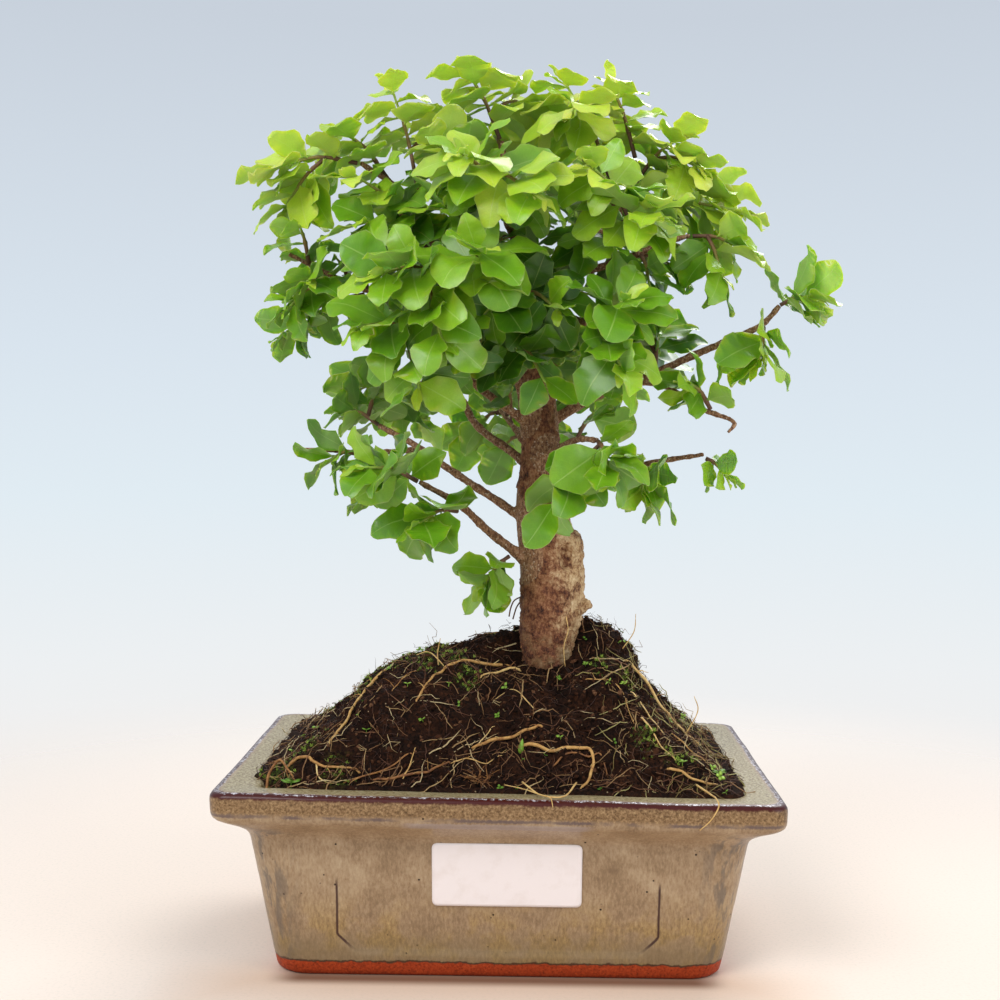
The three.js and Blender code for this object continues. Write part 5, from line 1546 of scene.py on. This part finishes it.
def side_shoots(settings, crown):
    """Short leafy shoots straight from the branches, between the sprays: line, nodes and leaves of each."""
    grown_shoots = []
    number = 20000
    for branch, (_, _, points) in BRANCHES.items():
        if branch in BARE_BRANCHES:
            continue
        length = length_of(points)
        far = 9.0
        while far < length - 4:
            number += 20
            t = far / length
            far += 8 + 6 * chance(number, 1)
            base = Vector(along(points, t))
            forward, across, above = frame_at(points, t)
            angle = 6.28 * chance(number, 2)
            out = across * math.cos(angle) + above * math.sin(angle)
            way = (forward * 0.6 + out + UP * 0.3).normalized()
            reach = 9 + 9 * chance(number, 3)
            line = shoot_line(base, 0.4, base + way * reach)
            leaves = []
            for n, t in enumerate((0.45, 0.72, 1)):
                for hand in (0, 1):
                    size = (15.5 + 5.5 * chance(number, 5 + n)) * (0.62 if n == 2 else 1)
                    leaf = crown.place(line, t, 0.5 + 1.57 * n, hand, size, number + 2 * n + hand,
                                       settings.leaf_room * 1000)
                    if leaf:
                        leaves.append((leaf, t))
            if len(leaves) > 2:
                grown_shoots.append((line, [(0.45, 0.5), (0.72, 2.1)], leaves))
    return grown_shoots


def add_shoot(skin, line, nodes, leaves):
    """A shoot's stem, swollen at its nodes, with its leaves and a bud."""
    length = length_of(line)
    steps = max(6, round(length / 1.6))
    ages = [k / steps for k in range(steps + 1)]
    radii = []
    for t in ages:
        knot = sum(math.exp(-((t - at) * length / 0.7) ** 2) for at, _ in nodes)
        radii.append(lerp(0.86, 0.42, t) * (1 + 0.35 * min(knot, 1)))
    skin.tube(sampled(line, steps)[0], radii, 6, 1, tone=ages, shade=chance(line[2].x, 3))
    tip = Vector(along(line, 1))
    bud = [tip + heading(line, 1) * reach for reach in (0, 0.7, 1.5, 2.1)]
    skin.tube(bud, [0.42, 0.55, 0.35, 0.06], 5, 1, tone=1, shade=0.5)
    for leaf, t in leaves:
        add_leaf(skin, leaf, tone_of(leaf, min(t, 1)) + (0.14 if t == YOUNG else 0))


def foliage_pieces(settings):
    """One piece for each spray of the CAD, with its own shoots, more leaves and the nearest side shoots."""
    materials = [privet_leaf(), young_shoot()]
    crown = Crown()
    sprays = [spray_leaves(k, row, crown) for k, row in enumerate(SPRAYS)]
    for k, (row, (_, shoots, _)) in enumerate(zip(SPRAYS, sprays)):
        fill_spray(settings, k, row, shoots, crown)
    for shoot in side_shoots(settings, crown):
        nearest = min(sprays, key=lambda spray: (spray[1][0][0][0] - shoot[0][0]).length)
        nearest[1].append(shoot)
    total = 0
    for name, shoots, _ in sprays:
        skin = Skin()
        for line, nodes, leaves in shoots:
            add_shoot(skin, line, nodes, leaves)
            total += len(leaves)
        item = skin.piece(name + "_leaves", materials)
        item.data.set_sharp_from_angle(angle=1.3)
        settle(item, "leaf", name)
    print("leaves of the CAD found:", sum(kept for _, _, kept in sprays), "all leaves:", total)


def privet_leaf():
    """Privet leaf: a thin waxy blade that light shines through. Its rib and side veins are paler, about 0.3
    and 0.15 mm wide (drawn a little wider so that they show), its edge is pale and its underside dull."""
    material, add, place = surface("privet_leaf_waxy", 0.5, Subsurface_Weight=0.45, Subsurface_Scale=0.0014,
                                   Subsurface_Radius=(0.6, 1.0, 0.15))
    tone, across, down, under = (
        add("Attribute:" + key, out="Fac") for key in ("tone", "across", "down", "under")
    )
    patches = add("TexNoise", place, None, 1 / 6, 3, 0.5)
    grain = add("TexNoise", place, None, 1 / 0.5, 3, 0.6)
    off = add("Math:ABSOLUTE", add("Math:SUBTRACT", across, 0.5))
    # Side veins leave the rib at a slant, nine to a side.
    slant = add("Math:MULTIPLY_ADD", off, -4.2, add("Math:MULTIPLY", down, 9.5))
    vein = add(EASED, add("Math:PINGPONG", slant, 0.5), 0.07, 0.02)
    vein = add("Math:MULTIPLY", vein, add(EASED, off, 0.46, 0.36))
    marks = add("Math:MAXIMUM", add(EASED, off, 0.026, 0.008), add("Math:MULTIPLY", vein, 0.12))
    # The leaf's colour follows its tone: partly its youth, partly painted light and shade from where it sits
    # in the crown.
    colour = add("ValToRGB", strayed(add, tone, 0.22, patches), stops=[
        (0.0, "31560a"), (0.22, "48780c"), (0.42, "669614"), (0.6, "88b31f"), (0.78, "afcd35"),
        (1.0, "d3e150"),
    ])
    colour = layered(add, colour, ("2f5208", 0.1, add(EASED, grain, 0.35, 0.65)))
    pale = layered(add, colour, ("cfe08a", 0.4))
    colour = layered(add, colour, (pale, 0.55, marks), (pale, 0.5, add(EASED, off, 0.475, 0.5)))
    dull = layered(add, colour, ("b9cc8c", 0.3))
    colour = layered(add, colour, (dull, 1, add(EASED, under, 0.05, 0.3)))
    relief = add("Math:SUBTRACT", add("Math:MULTIPLY", grain, 0.25), marks)
    return dress(material, colour, relief, 0.2, 0.0002, add("MapRange", under, 0.0, 0.4, 0.36, 0.7))


def young_shoot():
    """This year's privet wood: mottled brown where it is old, tan further out and green at its tip."""
    material, add, place = surface("privet_shoot", 0.65)
    grain = add("TexNoise", place, None, 1 / 0.7, 3, 0.6)
    colour = add("ValToRGB", strayed(add, add("Attribute:tone", out="Fac"), 0.5, grain), stops=[
        (0.05, "59392a"), (0.35, "7f5a3e"), (0.6, "8f7a3c"), (0.85, "8a9a3c"), (1.0, "9dbb4a"),
    ])
    return dress(material, colour, grain, 0.4, 0.0003)


# The camera: where it stands, its turn in degrees, and its focal length in pixels of a 1000 pixel frame.
CAMERA_PLACE = (9.6, -536.6, 183.5)
CAMERA_YAW = -1.16
CAMERA_PITCH = 2.55
CAMERA_ROLL = 0.41
CAMERA_FOCUS = 1455
LIT_SPOT = (0, 0, 150)


def stage_pieces(settings):
    """Pale floor, a soft sky-like studio and the camera."""
    rings = [circle(radius, 64) for radius in (3000, 1600, 900, 500, 200, 40)]
    skin = Skin()
    skin.add([(x, y, 0) for ring in rings for x, y in ring], grid(6, 64) + [tuple(range(5 * 64, 6 * 64))])
    skin.piece("floor", [sweep_paper(settings)])
    scene = bpy.context.scene
    scene.view_settings.view_transform = "Standard"
    scene.view_settings.look = "None"
    scene.view_settings.exposure = settings.exposure
    world = bpy.data.worlds.new("studio_sky")
    scene.world = world
    world.use_nodes = True
    add = partial(node, world.node_tree)
    height = add("SeparateXYZ", add("TexCoord", out="Generated"), out=2)
    colour = add("ValToRGB", add("MapRange", height, -0.3, 0.3), stops=[
        (0.0, "f8f1ea"), (0.08, "f5f0ec"), (0.25, "edf0f2"), (0.43, "e1ecf3"), (0.6, "d9e4ee"),
        (0.95, "c8d1dc"),
    ])
    background = world.node_tree.nodes["Background"]
    world.node_tree.links.new(colour, background.inputs["Color"])
    background.inputs["Strength"].default_value = 1.0
    # Round lamps: place and diameter in millimetres, and power beside the key's.
    for name, place, size, power in (
        ("key_window", (-420, -620, 760), 520, 1),
        ("fill_window", (650, -420, 420), 500, 0.35),
        ("back_window", (250, 620, 700), 480, 0.8),
    ):
        light = bpy.data.lights.new(name, "AREA")
        light.shape = "DISK"
        light.size = size / 1000
        light.energy = settings.key_power * power
        item = bpy.data.objects.new(name, light)
        scene.collection.objects.link(item)
        item.location = (Vector(place) + SHIFT) / 1000
        item.rotation_euler = (Vector(LIT_SPOT) - Vector(place)).to_track_quat("-Z", "Y").to_euler()
    yaw, pitch, roll = (math.radians(v) for v in (CAMERA_YAW, CAMERA_PITCH, CAMERA_ROLL))
    forward = Vector((math.sin(yaw) * math.cos(pitch), math.cos(yaw) * math.cos(pitch), -math.sin(pitch)))
    right = Vector((math.cos(yaw), -math.sin(yaw), 0))
    up = right.cross(forward)
    turned = (
        right * math.cos(roll) + up * math.sin(roll), up * math.cos(roll) - right * math.sin(roll), -forward,
    )
    camera = bpy.data.objects.new("camera", bpy.data.cameras.new("camera"))
    scene.collection.objects.link(camera)
    camera.data.sensor_width = 36
    camera.data.lens = 36 * CAMERA_FOCUS / 1000
    camera.data.clip_start = 0.01
    turn = Matrix(turned).transposed().to_4x4()
    camera.matrix_world = Matrix.Translation((Vector(CAMERA_PLACE) + SHIFT) / 1000) @ turn
    scene.camera = camera


def sweep_paper(settings):
    """Matt background paper, warm white, that fades out into the studio's own light."""
    material, add, place = surface("paper_sweep_matt", 0.9)
    grain = add("TexNoise", place, None, 1 / 1.2, 4, 0.6)
    x, y = (add("Math:SUBTRACT", add("SeparateXYZ", place, out=k), SHIFT[k]) for k in (0, 1))
    beside = add("Math:SUBTRACT", add("Math:ABSOLUTE", x), 78)
    before = add("Math:SUBTRACT", add("Math:ABSOLUTE", y), 53)
    front = add(EASED, y, -30, -58)
    # Painted shadow: the paper is painted a warm brown in front of the pot, as its shadow and as warm light
    # bounced off the glaze, darkest right at its foot as a painted contact shadow.
    dress(material, layered(
        add, (*settings.floor_colour, 1), ("e6d8c9", 1, add(EASED, grain, 0.45, 0.8)),
        ("d9b392", 0.65, front, add("MapRange", add("Math:MAXIMUM", beside, before), 40, 0)),
        ("7a5238", 1, front, add(EASED, before, 9, 1), add(EASED, beside, 2, -12)),
    ))
    nodes = material.node_tree.nodes
    fade = add(EASED, add("VectorMath:LENGTH", place, out="Value"), 150, 540)
    blend = add("MixShader", fade, nodes["Principled BSDF"].outputs[0], add("BsdfTransparent"))
    material.node_tree.links.new(blend, nodes["Material Output"].inputs["Surface"])
    return material


class BonsaiPotSizes(bpy.types.PropertyGroup):
    """The pot's glaze."""
    glaze_gloss: FloatProperty(name="Glaze gloss", description="Weight of the clear coat over the glaze",
                               default=0.18, min=0, max=1, subtype="FACTOR")


class BonsaiLabelSizes(bpy.types.PropertyGroup):
    """Size and colour of the label."""
    label_length: FloatProperty(name="Length", description="Length of the label", default=0.05, min=0.02,
                                max=0.08, unit="LENGTH", subtype="DISTANCE")
    label_height: FloatProperty(name="Height", description="Height of the label", default=0.0225, min=0.01,
                                max=0.03, unit="LENGTH", subtype="DISTANCE")
    label_colour: FloatVectorProperty(name="Paper", description="Colour of the paper", size=3, min=0, max=1,
                                      default=linear("f4e8e4")[:3], subtype="COLOR")


class BonsaiSoilSizes(bpy.types.PropertyGroup):
    """What lies on the soil."""
    crumbs: IntProperty(name="Crumbs", description="Number of soil crumbs, about", default=6000, min=0,
                        max=9000)
    fibres: IntProperty(name="Fibres", description="Number of fine dead fibres, about", default=700, min=0,
                        max=3000)


class BonsaiLeafSizes(bpy.types.PropertyGroup):
    """How the crown is filled."""
    leaf_room: FloatProperty(name="Room", description="Least distance from an added leaf to the others",
                             default=0.0042, min=0.0005, max=0.02, unit="LENGTH", subtype="DISTANCE")


class BonsaiStageSizes(bpy.types.PropertyGroup):
    """Light and floor."""
    key_power: FloatProperty(name="Key light", description="Power of the main light", default=5.0, min=0,
                             max=200, unit="POWER")
    exposure: FloatProperty(name="Exposure", description="Exposure of the view, in stops", default=0.0,
                            min=-3, max=3)
    floor_colour: FloatVectorProperty(name="Floor", description="Colour of the paper floor", size=3, min=0,
                                      max=1, default=linear("f2e1d2")[:3], subtype="COLOR")


class BONSAI_OT_pot(bpy.types.Operator):
    """Makes the glazed pot and finishes the plastic mesh over its drain holes"""
    bl_idname = "bonsai.pot"
    bl_label = "Pot"

    def execute(self, context):
        pot_piece(context.scene.bonsai_pot)
        plastic = screen_plastic()
        for name in ("drain_mesh_left", "drain_mesh_right"):
            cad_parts[name].data.materials.clear()
            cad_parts[name].data.materials.append(plastic)
        return {"FINISHED"}


class BONSAI_OT_label(bpy.types.Operator):
    """Makes the blank paper label on the pot's front"""
    bl_idname = "bonsai.label"
    bl_label = "Label"

    def execute(self, context):
        label_piece(context.scene.bonsai_label)
        return {"FINISHED"}


class BONSAI_OT_soil(bpy.types.Operator):
    """Makes the soil with its crumbs, moss, seedlings and fibres, and the bare roots on it"""
    bl_idname = "bonsai.soil"
    bl_label = "Soil and roots"

    def execute(self, context):
        soil = soil_piece()
        ground_cover(context.scene.bonsai_soil, soil)
        root_pieces(soil)
        return {"FINISHED"}


class BONSAI_OT_wood(bpy.types.Operator):
    """Makes the trunk and branches with their bark"""
    bl_idname = "bonsai.wood"
    bl_label = "Trunk and branches"

    def execute(self, context):
        wood_piece()
        return {"FINISHED"}


class BONSAI_OT_foliage(bpy.types.Operator):
    """Makes the leafy shoots"""
    bl_idname = "bonsai.foliage"
    bl_label = "Leafy shoots"

    def execute(self, context):
        foliage_pieces(context.scene.bonsai_leaves)
        return {"FINISHED"}


class BONSAI_OT_stage(bpy.types.Operator):
    """Makes the floor, the lights and the camera"""
    bl_idname = "bonsai.stage"
    bl_label = "Stage"

    def execute(self, context):
        stage_pieces(context.scene.bonsai_stage)
        return {"FINISHED"}


class BONSAI_PT_panel(bpy.types.Panel):
    """The bonsai's sizes and the buttons that make its pieces"""
    bl_label = "Privet bonsai"
    bl_idname = "BONSAI_PT_panel"
    bl_space_type = "VIEW_3D"
    bl_region_type = "UI"
    bl_category = "Bonsai"

    def draw(self, context):
        for key, operators in (
            ("bonsai_pot", ["bonsai.pot"]), ("bonsai_label", ["bonsai.label"]),
            ("bonsai_soil", ["bonsai.soil", "bonsai.wood"]), ("bonsai_leaves", ["bonsai.foliage"]),
            ("bonsai_stage", ["bonsai.stage"]),
        ):
            box = self.layout.box()
            sizes = getattr(context.scene, key)
            for item in sizes.bl_rna.properties:
                if item.identifier not in ("rna_type", "name"):
                    box.prop(sizes, item.identifier)
            for operator in operators:
                box.operator(operator)


GROUPS = {
    "bonsai_pot": BonsaiPotSizes, "bonsai_label": BonsaiLabelSizes, "bonsai_soil": BonsaiSoilSizes,
    "bonsai_leaves": BonsaiLeafSizes, "bonsai_stage": BonsaiStageSizes,
}
OPERATORS = (
    BONSAI_OT_pot, BONSAI_OT_label, BONSAI_OT_soil, BONSAI_OT_wood, BONSAI_OT_foliage, BONSAI_OT_stage,
)


def register():
    for key, group in GROUPS.items():
        bpy.utils.register_class(group)
        setattr(bpy.types.Scene, key, PointerProperty(type=group))
    for operator in OPERATORS:
        bpy.utils.register_class(operator)
    bpy.utils.register_class(BONSAI_PT_panel)


def unregister():
    bpy.utils.unregister_class(BONSAI_PT_panel)
    for operator in reversed(OPERATORS):
        bpy.utils.unregister_class(operator)
    for key, group in GROUPS.items():
        delattr(bpy.types.Scene, key)
        bpy.utils.unregister_class(group)


def main():
    register()
    bpy.ops.bonsai.pot()
    bpy.ops.bonsai.label()
    bpy.ops.bonsai.soil()
    bpy.ops.bonsai.wood()
    bpy.ops.bonsai.foliage()
    bpy.ops.bonsai.stage()


if __name__ == "__main__":
    main()
